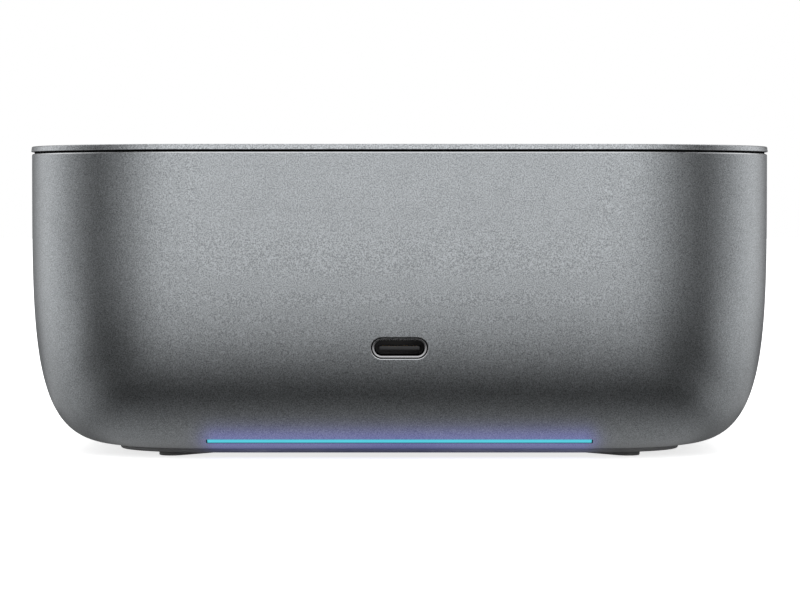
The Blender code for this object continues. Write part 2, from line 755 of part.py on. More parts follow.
def build_base(plate_look, foot_look, screw_look) -> None:
    """The base plate with its air slots, and the screws that the feet cover."""
    stations = (
        (BASE_INSET, BASE_TOP),
        (BASE_INSET, BASE_BOTTOM + BASE_CHAMFER),
        (BASE_INSET + BASE_CHAMFER, BASE_BOTTOM),
    )
    plate = solid("base_plate", [[bowl_ring(inset, z) for inset, z in stations]], plate_look)
    pockets = []
    for corner in QUARTERS:
        turn = Matrix.Rotation(foot_turn(*corner), 4, "Z")
        spot = Matrix.Translation((*foot_centre(*corner), 0)) @ turn
        rings = prism(foot_outline(FIT_GAP), BASE_BOTTOM - BASE_PROUD, POCKET_TOP)
        pockets.append([[spot @ point for point in ring] for ring in rings])
    cut(plate, "foot_pockets", pockets)
    head = circle(HEAD_RADIUS + FIT_GAP, SMALL_ROUND_STEPS)
    shank = circle(SCREW_BORE, SMALL_ROUND_STEPS)
    places = post_places()
    cut(plate, "head_pockets", [prism(shifted(head, x, y), BASE_BOTTOM, HEAD_POCKET_TOP) for x, y in places])
    cut(plate, "shank_holes", [prism(shifted(shank, x, y), POCKET_TOP, BASE_TOP + SEAM) for x, y in places])
    cut(plate, "air_slots", base_slots())

    for corner in QUARTERS:
        rings = [
            level(foot_outline(-FOOT_ROUND), 0),
            level(foot_outline(0), FOOT_ROUND),
            level(foot_outline(0), POCKET_TOP - SEAT_GAP),
        ]
        foot = solid(f"foot_{CORNER_NAMES[corner]}", [rings], foot_look)
        place(foot, *foot_centre(*corner), turn=foot_turn(*corner))
        x, y = post_place(*corner)
        screw = solid(f"base_screw_{CORNER_NAMES[corner]}", [screw_rings()], screw_look)
        place(screw, x, y, HEAD_POCKET_TOP - SEAT_GAP)


def screw_rings(upwards: bool = True) -> list[Ring]:
    """A screw seated at z 0, its shank up and its head down, or the other way round."""
    sign = 1 if upwards else -1
    profile = (
        (HEAD_RADIUS * 0.8, -HEAD_HEIGHT),
        (HEAD_RADIUS, -HEAD_HEIGHT * 0.6),
        (HEAD_RADIUS, 0),
        (SCREW_RADIUS, 0),
        (SCREW_RADIUS, SCREW_LENGTH - SCREW_RADIUS),
        (SCREW_RADIUS * 0.5, SCREW_LENGTH),
    )
    return turned([(radius, sign * z) for radius, z in profile])


# Ports


def small_outline(grow: float) -> Loop:
    """The small reversible port's opening, grown all round."""
    half_height = SMALL_HEIGHT / 2 + grow
    return rounded_loop(SMALL_WIDTH / 2 + grow, half_height, half_height, PORT_STEPS)


def peripheral_outline(grow: float) -> Loop:
    """The flat rectangular peripheral port's opening, grown all round."""
    corner = PERIPHERAL_CORNER + grow
    return rounded_loop(PERIPHERAL_WIDTH / 2 + grow, PERIPHERAL_HEIGHT / 2 + grow, corner, 2)


def grown_cut(size: float, grow: float) -> float:
    """A 45 degree corner cut, as it becomes when its outline grows."""
    return size + grow * (2 - math.sqrt(2))


def video_a_outline(grow: float) -> Loop:
    """The first video port's opening, narrower at its lower corners."""
    low = grown_cut(VIDEO_A_CUT, grow)
    return cut_corner_loop(VIDEO_A_WIDTH / 2 + grow, VIDEO_A_HEIGHT / 2 + grow, (0, 0, low, low))


def video_b_outline(grow: float) -> Loop:
    """The second video port's opening, with one corner cut."""
    low = grown_cut(VIDEO_B_CUT, grow)
    return cut_corner_loop(VIDEO_B_WIDTH / 2 + grow, VIDEO_B_HEIGHT / 2 + grow, (0, 0, 0, low))


@dataclass(frozen=True)
class PortKind:
    """One kind of shelled port. Shares are of the opening's width and height."""

    outline: Callable[[float], Loop]
    width: float
    height: float
    length: float
    tongue_width: float
    tongue_thick: float
    tongue_rise: float
    tongue_setback: float


SMALL_PORT = PortKind(small_outline, SMALL_WIDTH, SMALL_HEIGHT, SMALL_LENGTH, 0.8, 0.28, 0, 0.0008)
PERIPHERAL_PORT = PortKind(
    peripheral_outline, PERIPHERAL_WIDTH, PERIPHERAL_HEIGHT, PERIPHERAL_LENGTH, 0.89, 0.36, 0.2, 0.0007
)
VIDEO_A_PORT = PortKind(
    video_a_outline, VIDEO_A_WIDTH, VIDEO_A_HEIGHT, VIDEO_A_LENGTH, 0.82, 0.24, 0.06, 0.0012
)
VIDEO_B_PORT = PortKind(
    video_b_outline, VIDEO_B_WIDTH, VIDEO_B_HEIGHT, VIDEO_B_LENGTH, 0.8, 0.26, 0.04, 0.0012
)
INSULATOR_SHARE = 0.3


def build_port(name: str, kind: PortKind, spot: tuple[float, float, float], turn: float, looks) -> None:
    """A port's metal shell, open at its mouth, and the insulator with its tongue, held in the shell's back."""
    shell_look, tongue_look = looks
    wall = [
        upright(kind.outline(SHELL_WALL), 0),
        upright(kind.outline(SHELL_WALL), -kind.length),
        upright(kind.outline(0), -kind.length),
        upright(kind.outline(0), 0),
    ]
    shell = solid(f"{name}_shell", [wall], shell_look, looped=True)
    block = kind.outline(-SEAT_GAP)
    front = -kind.length * (1 - INSULATOR_SHARE)
    tongue = solid(f"{name}_tongue", [drilled(block, -kind.length, front)], tongue_look)
    plank = box_loop(kind.width * kind.tongue_width / 2, kind.height * kind.tongue_thick / 2)
    plank = shifted(plank, 0, kind.height * kind.tongue_rise)
    plank_back = front - INSULATOR_SHARE * kind.length / 2
    fuse(tongue, f"{name}_plank", [drilled(plank, -kind.tongue_setback, plank_back)])
    place(shell, *spot, turn)
    place(tongue, *spot, turn)


def jack_mouth(grow: float) -> Loop:
    """The network jack's mouth with its key below, from the mouth's top middle down."""
    half = JACK_MOUTH_WIDTH / 2 + grow
    key = JACK_KEY_WIDTH / 2 + grow
    top = grow
    step = -JACK_MOUTH_HEIGHT - grow
    foot = step - JACK_KEY_HEIGHT
    left = [(-half, top), (-half, step), (-key, step), (-key, foot)]
    return left + [(-x, z) for x, z in reversed(left)]


def contact_comb() -> Loop:
    """The row of sprung contacts seen from above, joined at the jack's back."""
    half = (CONTACT_COUNT - 1) / 2 * CONTACT_PITCH + CONTACT_WIDTH
    bridge = CONTACT_WIDTH * 2
    points = [(half, 0), (half, bridge)]
    for index in range(CONTACT_COUNT):
        x = ((CONTACT_COUNT - 1) / 2 - index) * CONTACT_PITCH
        right, left = x + CONTACT_WIDTH / 2, x - CONTACT_WIDTH / 2
        points += [(right, bridge), (right, CONTACT_LENGTH), (left, CONTACT_LENGTH), (left, bridge)]
    return points + [(-half, bridge), (-half, 0)]


def build_network_jack(x: float, looks) -> None:
    """The network jack's housing and its row of contacts, which hang from the back of the mouth's roof."""
    body_look, contact_look = looks
    bottom = PORT_BOARD_TOP + SEAT_GAP
    body = box_loop(JACK_WIDTH / 2, JACK_HEIGHT / 2)
    jack = solid("network_jack", [drilled(shifted(body, 0, JACK_HEIGHT / 2), -JACK_LENGTH, 0)], body_look)
    roof = JACK_HEIGHT - JACK_ROOF
    mouth = shifted(jack_mouth(0), 0, roof)
    cut(jack, "jack_mouth", [drilled(mouth, -JACK_DEPTH, JACK_ROOF)])
    place(jack, x, PORT_MOUTH, bottom)
    contacts = solid("network_jack_contacts", [prism(contact_comb(), -CONTACT_THICK, 0)], contact_look)
    spot = Matrix.Translation((x, PORT_MOUTH - JACK_DEPTH + FIT_GAP, bottom + roof - FIT_GAP))
    contacts.matrix_world = spot @ Matrix.Rotation(-CONTACT_TILT, 4, "X")


def build_power_inlet(x: float, looks) -> None:
    """The power inlet's block with its round socket, and the pin in the middle of the socket."""
    body_look, pin_look = looks
    middle = BOARD_TOP + SEAT_GAP + INLET_HEIGHT / 2
    body = box_loop(INLET_WIDTH / 2, INLET_HEIGHT / 2)
    inlet = solid("power_inlet", [drilled(body, -INLET_LENGTH, 0)], body_look)
    cut(inlet, "inlet_socket", [drilled(circle(INLET_BORE, 20), -INLET_DEPTH, INLET_PIN)])
    place(inlet, x, PORT_MOUTH, middle)
    pin_loop = circle(INLET_PIN, SMALL_ROUND_STEPS)
    pin = solid("power_inlet_pin", [drilled(pin_loop, -INLET_DEPTH + FIT_GAP, -INLET_DEPTH / 4)], pin_look)
    place(pin, x, PORT_MOUTH, middle)


def lower_port_z(kind: PortKind) -> float:
    """Height of a port's middle when it stands on the main board."""
    return BOARD_TOP + SEAT_GAP + SHELL_WALL + kind.height / 2


def upper_port_z(kind: PortKind) -> float:
    """Height of a port's middle when it stands on the port board."""
    return PORT_BOARD_TOP + SEAT_GAP + SHELL_WALL + kind.height / 2


def shelled_ports() -> dict[str, tuple[PortKind, float, float]]:
    """Each shelled port of the rear panel with its kind, x and z."""
    lower = row_places(LOWER_ROW)
    upper = row_places(UPPER_ROW)
    ports = {
        "host_port": (SMALL_PORT, lower["host_port"], lower_port_z(SMALL_PORT)),
        "device_port": (SMALL_PORT, lower["device_port"], lower_port_z(SMALL_PORT)),
        "video_port_a": (VIDEO_A_PORT, lower["video_port_a"], lower_port_z(VIDEO_A_PORT)),
        "video_port_b": (VIDEO_B_PORT, lower["video_port_b"], lower_port_z(VIDEO_B_PORT)),
    }
    for name, x in upper.items():
        if name != "network_jack":
            ports[name] = (PERIPHERAL_PORT, x, upper_port_z(PERIPHERAL_PORT))
    return ports


def build_ports(shell_look, insulator_look, jack_look, contact_look) -> None:
    """The front port and both rows of rear ports."""
    looks = (shell_look, insulator_look)
    build_port("front_port", SMALL_PORT, (0, front_skin(PORT_Z) + PORT_SETBACK, PORT_Z), math.pi, looks)
    for name, (kind, x, z) in shelled_ports().items():
        build_port(name, kind, (x, PORT_MOUTH, z), 0, looks)
    build_network_jack(row_places(UPPER_ROW)["network_jack"], (jack_look, contact_look))
    build_power_inlet(row_places(LOWER_ROW)["power_inlet"], (jack_look, contact_look))


def vent_cutters() -> list[list[Ring]]:
    """The panel's upright air slots above the peripheral ports."""
    places = row_places(UPPER_ROW)
    names = [name for name in places if name != "network_jack"]
    middle = (places[names[0]] + places[names[-1]]) / 2
    low = PORT_BOARD_TOP + PERIPHERAL_HEIGHT + 2 * SHELL_WALL + VENT_RISE
    high = PANEL_HIGH - VENT_RISE
    slots = []
    for index in range(VENT_COUNT):
        x = middle + (index - (VENT_COUNT - 1) / 2) * VENT_PITCH
        outline = rounded_loop(VENT_WIDTH / 2, (high - low) / 2, VENT_WIDTH / 2, 2)
        slots.append(drilled(shifted(outline, x, (low + high) / 2), PANEL_BACK - WALL, PANEL_FACE + WALL))
    return slots


def build_rear_panel(look) -> None:
    """The rear panel: a flange behind the wall, a raised face in the opening, and a hole for each port."""
    height = PANEL_HIGH - PANEL_LOW
    flange = rounded_loop(PANEL_HALF + PANEL_FLANGE, height / 2 + PANEL_FLANGE, PANEL_CORNER, PORT_STEPS)
    face = rounded_loop(PANEL_HALF - FIT_GAP, height / 2 - FIT_GAP, PANEL_CORNER - FIT_GAP, PORT_STEPS)
    stations = ((flange, PANEL_BACK), (flange, PANEL_SEAT), (face, PANEL_SEAT), (face, PANEL_FACE))
    rings = [upright(shifted(loop, 0, PANEL_MIDDLE), y) for loop, y in stations]
    panel = solid("rear_panel", [rings], look)
    near, far = PANEL_BACK - WALL, PANEL_FACE + WALL
    grow = SHELL_WALL + PORT_HOLE_GAP
    holes = [drilled(shifted(kind.outline(grow), x, z), near, far) for kind, x, z in shelled_ports().values()]
    jack = box_loop(JACK_WIDTH / 2 + PORT_HOLE_GAP, JACK_HEIGHT / 2 + PORT_HOLE_GAP)
    jack_z = PORT_BOARD_TOP + SEAT_GAP + JACK_HEIGHT / 2
    holes.append(drilled(shifted(jack, row_places(UPPER_ROW)["network_jack"], jack_z), near, far))
    inlet = box_loop(INLET_WIDTH / 2 + PORT_HOLE_GAP, INLET_HEIGHT / 2 + PORT_HOLE_GAP)
    inlet_z = BOARD_TOP + SEAT_GAP + INLET_HEIGHT / 2
    holes.append(drilled(shifted(inlet, row_places(LOWER_ROW)["power_inlet"], inlet_z), near, far))
    cut(panel, "panel_ports", holes)
    cut(panel, "panel_vents", vent_cutters())


# Boards


def build_boards(board_look, link_look, screw_look, brass_look) -> None:
    """The main board on the posts, the port board above it, the link between them and what fastens them."""
    inset = inner_inset(BOARD_BOTTOM) + BOARD_MARGIN
    front = -(HALF_Y - inset)
    half_depth = (BOARD_REAR - front) / 2
    outline = rounded_loop(HALF_X - inset, half_depth, CORNER_RADIUS - inset)
    outline = shifted(outline, 0, (BOARD_REAR + front) / 2)
    main = solid("main_board", [prism(outline, BOARD_BOTTOM, BOARD_TOP)], board_look)
    bore = circle(SCREW_BORE, SMALL_ROUND_STEPS)
    holes = [prism(shifted(bore, x, y), BOARD_BOTTOM - SEAM, BOARD_TOP + SEAM) for x, y in post_places()]
    cut(main, "main_board_holes", holes)
    coils = []
    coil = rounded_loop(COIL_SIZE / 2, COIL_SIZE / 2, COIL_SIZE / 6, 2)
    for side in (-1, 1):
        for index in range(COIL_COUNT):
            y = COOLING_Y + (index - (COIL_COUNT - 1) / 2) * COIL_PITCH
            spot = shifted(coil, side * (HALF_X - inset - COIL_SIZE), y)
            coils.append(prism(spot, BOARD_TOP - BOARD_THICK / 2, BOARD_TOP + COIL_HEIGHT))
    fuse(main, "coils", coils)

    half_port_board = POST_X + PORT_BOARD_MARGIN
    outline = rounded_loop(half_port_board, PORT_BOARD_DEPTH / 2, PORT_BOARD_CORNER, 3)
    outline = shifted(outline, 0, (BOARD_REAR + PORT_BOARD_FRONT) / 2)
    upper = solid("port_board", [prism(outline, PORT_BOARD_BOTTOM, PORT_BOARD_TOP)], board_look)
    rear = [(x, y) for x, y in post_places() if y > 0]
    holes = [prism(shifted(bore, x, y), PORT_BOARD_BOTTOM - SEAM, PORT_BOARD_TOP + SEAM) for x, y in rear]
    cut(upper, "port_board_holes", holes)

    link_y = PORT_BOARD_FRONT + LINK_FROM_EDGE
    split = (BOARD_TOP + PORT_BOARD_BOTTOM) / 2
    body = shifted(box_loop(LINK_WIDTH / 2, LINK_DEPTH / 2), 0, link_y)
    tongue = shifted(box_loop(LINK_WIDTH / 2 - LINK_TONGUE, LINK_TONGUE / 2), 0, link_y)
    slot = shifted(box_loop(LINK_WIDTH / 2 - LINK_TONGUE + FIT_GAP, LINK_TONGUE / 2 + FIT_GAP), 0, link_y)
    stations = (
        level(body, BOARD_TOP + SEAT_GAP),
        level(body, split),
        level(tongue, split),
        level(tongue, split + LINK_ENGAGED),
    )
    solid("board_link_header", [list(stations)], link_look)
    socket_rings = prism(body, split + SEAT_GAP, PORT_BOARD_BOTTOM - SEAT_GAP)
    socket = solid("board_link_socket", [socket_rings], link_look)
    cut(socket, "link_slot", [prism(slot, split - LINK_ENGAGED, split + LINK_ENGAGED + FIT_GAP)])

    for x, y in post_places():
        corner = (1 if x > 0 else -1, 1 if y > 0 else -1)
        if y < 0:
            screw = solid(f"board_screw_{CORNER_NAMES[corner]}", [screw_rings(upwards=False)], screw_look)
            place(screw, x, y, BOARD_TOP + SEAT_GAP)
            continue
        name = CORNER_NAMES[corner]
        standoff = solid(f"standoff_{name}", [standoff_rings()], brass_look)
        bore_rings = prism(bore, standoff_height() - SCREW_LENGTH, standoff_height() + SEAM)
        cut(standoff, f"standoff_bore_{name}", [bore_rings])
        place(standoff, x, y, BOARD_TOP + SEAT_GAP)
        screw = solid(f"port_board_screw_{name}", [screw_rings(upwards=False)], screw_look)
        place(screw, x, y, PORT_BOARD_TOP + SEAT_GAP)


def standoff_height() -> float:
    """Length of a standoff's hexagon between the two boards."""
    return PORT_BOARD_BOTTOM - BOARD_TOP - 2 * SEAT_GAP


def standoff_rings() -> list[Ring]:
    """A hexagonal standoff from z 0 up, with its stud below."""
    stud = circle(SCREW_RADIUS, SMALL_ROUND_STEPS)
    body = hexagon(STANDOFF_RADIUS)
    return [level(stud, -SCREW_LENGTH), level(stud, 0), level(body, 0), level(body, standoff_height())]


# Cooling


def fin_comb() -> Loop:
    """The heat sink's section, fins upwards, on the main axis."""
    base_top = SINK_BASE
    top = SINK_BASE + FIN_HEIGHT
    half = (FIN_COUNT - 1) / 2 * FIN_PITCH + FIN_THICK / 2
    points = [(-half, 0), (half, 0)]
    for index in range(FIN_COUNT):
        x = ((FIN_COUNT - 1) / 2 - index) * FIN_PITCH
        right, left = x + FIN_THICK / 2, x - FIN_THICK / 2
        if index > 0:
            points.append((right, base_top))
        points += [(right, top), (left, top)]
        if index < FIN_COUNT - 1:
            points.append((left, base_top))
    return points


def stator_loop() -> Loop:
    """The stator's outline: broad pole faces parted by slots."""
    pole = HUB_RADIUS - HUB_WALL - ROTOR_AIR_GAP
    slot = (BEARING_TUBE + pole) / 2
    points = []
    for step in range(ROUND_STEPS):
        share = step * STATOR_POLES / ROUND_STEPS % 1
        reach = slot if 0.3 < share < 0.7 else pole
        turn = 2 * math.pi * step / ROUND_STEPS
        points.append((reach * math.cos(turn), reach * math.sin(turn)))
    return points


def blade(turn: float) -> list[Ring]:
    """One fan blade from inside the hub's wall to its tip, its pitch easing as it goes out."""
    root = HUB_RADIUS - HUB_WALL / 2
    tip = FAN_BORE - BLADE_TIP_GAP
    middle = (HUB_BOTTOM + HUB_TOP) / 2
    spin = Matrix.Rotation(turn, 4, "Z")
    rings = []
    for step in range(BLADE_STEPS + 1):
        share = step / BLADE_STEPS
        pitch = BLADE_ROOT_PITCH + (BLADE_TIP_PITCH - BLADE_ROOT_PITCH) * share
        chord = BLADE_RISE / math.sin(pitch)
        section = Matrix.Translation((root + (tip - root) * share, 0, middle)) @ Matrix.Rotation(pitch, 4, "X")
        corners = box_loop(chord / 2, BLADE_THICK / 2)
        rings.append([spin @ section @ Vector((0, across, thick)) for across, thick in corners])
    return rings


def fan_housing_rings() -> list[Ring]:
    """The fan's square frame round its bore."""
    outside = finer(rounded_loop(FAN_HALF, FAN_HALF, FAN_CORNER, 4), FAN_HALF / 4)
    inside = []
    for x, y in outside:
        reach = math.hypot(x, y)
        inside.append((x / reach * FAN_BORE, y / reach * FAN_BORE))
    return [level(outside, 0), level(outside, FAN_HEIGHT), level(inside, FAN_HEIGHT), level(inside, 0)]


def build_fan(frame_look, rotor_look, steel_look, bearing_look, stator_look) -> None:
    """The fan: frame with motor seat and pegs, bearing, stator, and the rotor on its shaft."""
    frame = solid("fan_frame", [fan_housing_rings()], frame_look, looped=True)
    struts = []
    reach = (MOTOR_RADIUS - FAN_STRUT, FAN_BORE + FAN_RIM / 2)
    strut = shifted(box_loop((reach[1] - reach[0]) / 2, FAN_STRUT / 2), sum(reach) / 2, 0)
    for index in range(STATOR_POLES):
        turn = Matrix.Rotation(math.pi / 2 * index, 4, "Z")
        struts.append([[turn @ point for point in ring] for ring in prism(strut, 0, FAN_FLOOR)])
    fuse(frame, "motor_seat", [turned([(MOTOR_RADIUS, 0), (MOTOR_RADIUS, FAN_FLOOR)], ROUND_STEPS)])
    fuse(frame, "fan_struts", struts)
    tube = [(BEARING_TUBE, FAN_FLOOR / 2), (BEARING_TUBE, BEARING_TOP)]
    fuse(frame, "bearing_tube", [turned(tube, ROUND_STEPS)])
    bore = [(BEARING_TUBE_BORE, FAN_FLOOR), (BEARING_TUBE_BORE, FAN_HEIGHT)]
    cut(frame, "bearing_seat", [turned(bore, ROUND_STEPS)])
    peg = circle(PEG_RADIUS, 8)
    pegs = []
    for side_x, side_y in QUARTERS:
        pegs.append(prism(shifted(peg, side_x * PEG_PLACE, side_y * PEG_PLACE), -PEG_LENGTH, FAN_FLOOR))
    fuse(frame, "fan_pegs", pegs)

    bearing_bore = SHAFT_RADIUS + SLEEVE_GAP
    bearing_bottom = FAN_FLOOR + SEAT_GAP
    sleeve = [
        (BEARING_RADIUS, bearing_bottom),
        (BEARING_RADIUS, BEARING_TOP),
        (bearing_bore, BEARING_TOP),
        (bearing_bore, bearing_bottom),
    ]
    bearing = solid("fan_bearing", [turned(sleeve, ROUND_STEPS)], bearing_look, looped=True)

    core_low = FAN_FLOOR + SEAT_GAP
    core = circle(BEARING_TUBE + SEAT_GAP)
    poles = stator_loop()
    core_high = core_low + STATOR_HEIGHT
    rings = [level(poles, core_low), level(poles, core_high), level(core, core_high), level(core, core_low)]
    stator = solid("fan_stator", [rings], stator_look, looped=True)

    hub_bore = SHAFT_RADIUS + SEAT_GAP / 2
    hub_inside = HUB_RADIUS - HUB_WALL
    hub_roof = HUB_TOP - HUB_WALL
    hub = [
        (HUB_RADIUS, HUB_BOTTOM),
        (HUB_RADIUS, HUB_TOP),
        (hub_bore, HUB_TOP),
        (hub_bore, hub_roof),
        (hub_inside, hub_roof),
        (hub_inside, HUB_BOTTOM),
    ]
    rotor = solid("fan_rotor", [turned(hub, ROUND_STEPS)], rotor_look, looped=True)
    blades = [blade(2 * math.pi * index / BLADE_COUNT) for index in range(BLADE_COUNT)]
    fuse(rotor, "blades", blades)
    spindle = [(SHAFT_RADIUS, FAN_FLOOR + 2 * SEAT_GAP), (SHAFT_RADIUS, HUB_TOP)]
    shaft = solid("fan_shaft", [turned(spindle, ROUND_STEPS)], steel_look)

    for piece in (frame, bearing, stator, rotor, shaft):
        place(piece, 0, COOLING_Y, FAN_Z)


def build_heat_path(chip_look, pad_look, sink_look) -> None:
    """The controller chip, the thermal pad on it and the finned heat sink on that."""
    square = shifted(box_loop(CHIP_SIZE / 2, CHIP_SIZE / 2), 0, COOLING_Y)
    solid("controller_chip", [prism(square, CHIP_BOTTOM, CHIP_BOTTOM + CHIP_HEIGHT)], chip_look)
    solid("thermal_pad", [prism(square, PAD_BOTTOM, PAD_BOTTOM + PAD_THICK)], pad_look)
    sink = solid("heat_sink", [drilled(fin_comb(), -SINK_DEPTH / 2, SINK_DEPTH / 2)], sink_look)
    place(sink, 0, COOLING_Y, SINK_BOTTOM)


# Power button


def build_button(button_look, switch_look, plunger_look, board_look) -> None:
    """The power button in the top plate, the switch that it presses and the switch's round board."""
    profile = (
        (STEM_RADIUS, STEM_BOTTOM - TOP_Z),
        (STEM_RADIUS, LIP_BOTTOM - TOP_Z),
        (BUTTON_RADIUS + BUTTON_LIP, LIP_BOTTOM - TOP_Z),
        (BUTTON_RADIUS + BUTTON_LIP, LIP_TOP - TOP_Z),
        (BUTTON_RADIUS, LIP_TOP - TOP_Z),
        (BUTTON_RADIUS, -BUTTON_ROUND),
        (BUTTON_RADIUS - BUTTON_ROUND, 0),
    )
    button = solid("power_button", [turned(profile, ROUND_STEPS)], button_look)
    place(button, 0, BUTTON_Y, TOP_Z)

    plunger_bottom = SWITCH_TOP - PLUNGER_SUNK
    plunger_rings = turned([(PLUNGER_RADIUS, plunger_bottom - TOP_Z), (PLUNGER_RADIUS, PLUNGER_TOP - TOP_Z)])
    plunger = solid("switch_plunger", [plunger_rings], plunger_look)
    place(plunger, 0, BUTTON_Y, TOP_Z)

    case = shifted(box_loop(SWITCH_SIZE / 2, SWITCH_SIZE / 2), 0, BUTTON_Y)
    switch = solid("tact_switch", [prism(case, SWITCH_BOTTOM, SWITCH_TOP)], switch_look)
    bore = shifted(circle(PLUNGER_RADIUS + RUN_GAP, SMALL_ROUND_STEPS), 0, BUTTON_Y)
    bore_bottom = plunger_bottom - BUTTON_TRAVEL - RUN_GAP
    cut(switch, "switch_bore", [prism(bore, bore_bottom, SWITCH_TOP + RUN_GAP)])

    disc = shifted(circle(CUP_RADIUS), 0, BUTTON_Y)
    board_bottom = BUTTON_BOARD_TOP - BUTTON_BOARD_THICK
    board = solid("button_board", [prism(disc, board_bottom, BUTTON_BOARD_TOP)], board_look)
    hole = circle(CUP_PIN_RADIUS + SEAT_GAP, SMALL_ROUND_STEPS)
    holes = []
    for x, y in cup_pin_places():
        holes.append(prism(shifted(hole, x, y), board_bottom - SEAM, BUTTON_BOARD_TOP + SEAM))
    cut(board, "board_pin_holes", holes)


# Leads


def lead_rings(x: float, start: Vector, leave: Vector, end: Vector, arrive: Vector) -> list[Ring]:
    """A flat lead in the plane at x, along a cubic curve that leaves and arrives in given directions."""
    pull = (end - start).length / 2
    controls = (start, start + leave * pull, end - arrive * pull, end)
    rings = []
    for step in range(LEAD_STEPS + 1):
        share = step / LEAD_STEPS
        rest = 1 - share
        weights = (rest**3, 3 * rest**2 * share, 3 * rest * share**2, share**3)
        spot = sum((control * weight for control, weight in zip(controls, weights)), Vector((0, 0)))
        slopes = (3 * rest**2, 6 * rest * share, 3 * share**2)
        hops = (far - near for near, far in zip(controls, controls[1:]))
        along = sum((hop * slope for hop, slope in zip(hops, slopes)), Vector((0, 0))).normalized()
        ring = []
        for across, thick in box_loop(LEAD_WIDTH / 2, LEAD_THICK / 2):
            ring.append(Vector((x + across, spot.x - along.y * thick, spot.y + along.x * thick)))
        rings.append(ring)
    return rings


def build_leads(look) -> None:
    """The flat leads from the main board to the button's board, the fan and the light's board."""
    down = Vector((0, -1))
    forward = Vector((-1, 0))
    board_top = BOARD_TOP + SEAT_GAP
    cooling_front = COOLING_Y - max(SINK_DEPTH / 2, FAN_HALF)
    button_lead_y = min(BUTTON_Y, cooling_front - 1.5 * LEAD_SWAY)
    button_start = Vector((button_lead_y, BUTTON_BOARD_TOP - BUTTON_BOARD_THICK - SEAT_GAP))
    button_end = Vector((button_lead_y + LEAD_SWAY, board_top))
    solid("button_lead", [lead_rings(0, button_start, down, button_end, down)], look)

    fan_start = Vector((COOLING_Y - FAN_HALF - SEAT_GAP, FAN_Z + FAN_HEIGHT / 2))
    fan_end = Vector((cooling_front - LEAD_SWAY / 2, board_top))
    solid("fan_lead", [lead_rings(LEAD_ASIDE, fan_start, forward, fan_end, down)], look)

    frame = light_frame()
    back = frame @ Vector((0, light_board_face() + LIGHT_BOARD_THICK + SEAT_GAP, 0))
    inward = frame.to_3x3() @ Vector((0, 1, 0))
    light_start = Vector((back.y, back.z))
    light_end = Vector((back.y + LEAD_SWAY, BOARD_BOTTOM - SEAT_GAP))
    rings = lead_rings(LEAD_ASIDE, light_start, Vector((inward.y, inward.z)), light_end, -down)
    solid("light_lead", [rings], look)


def build_dock() -> None:
    """Clears the scene and builds every piece of the dock in its own finish."""
    for old in list(bpy.data.objects):
        bpy.data.objects.remove(old, do_unlink=True)

    aluminium = finish("blasted_aluminium", (0.345, 0.363, 0.377), 0.35, 1.0)
    black_plastic = finish("black_plastic", (0.012, 0.012, 0.013), 0.5)
    base_plastic = finish("base_plastic", (0.035, 0.035, 0.037), 0.55)
    rubber = finish("foot_rubber", (0.02, 0.02, 0.02), 0.85)
    light = finish("light_guide", (0.10, 0.68, 0.80), 0.3)
    port_steel = finish("port_steel", (0.45, 0.45, 0.46), 0.3, 1.0)
    insulator = finish("port_insulator", (0.02, 0.02, 0.022), 0.45)
    contact_gold = finish("contact_gold", (0.75, 0.52, 0.2), 0.3, 1.0)
    board_green = finish("circuit_board", (0.01, 0.05, 0.03), 0.5)
    screw_steel = finish("screw_steel", (0.5, 0.5, 0.5), 0.35, 1.0)
    brass = finish("standoff_brass", (0.7, 0.5, 0.2), 0.35, 1.0)
    chip_black = finish("chip_epoxy", (0.015, 0.015, 0.016), 0.4)
    pad_grey = finish("thermal_pad", (0.3, 0.32, 0.36), 0.8)
    sink_aluminium = finish("sink_aluminium", (0.6, 0.61, 0.62), 0.4, 1.0)
    bearing_bronze = finish("bearing_bronze", (0.55, 0.38, 0.2), 0.4, 1.0)
    lead_film = finish("lead_film", (0.35, 0.2, 0.06), 0.45)

    build_housing(aluminium)
    build_top(aluminium, black_plastic)
    build_base(base_plastic, rubber, screw_steel)
    build_light(light, board_green)
    build_rear_panel(black_plastic)
    build_ports(port_steel, insulator, black_plastic, contact_gold)
    build_boards(board_green, black_plastic, screw_steel, brass)
    build_heat_path(chip_black, pad_grey, sink_aluminium)
    build_fan(black_plastic, black_plastic, screw_steel, bearing_bronze, sink_aluminium)
    build_button(aluminium, black_plastic, insulator, board_green)
    build_leads(lead_film)


build_dock()
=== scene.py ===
"""Dresses a laptop docking station: fine skins, finishes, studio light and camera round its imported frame."""

import json
import logging
import math
from dataclasses import dataclass
from enum import Enum
from functools import cache, cached_property, partial
from typing import Callable, Optional, Union

import bmesh
import bpy
from mathutils import Matrix, Vector

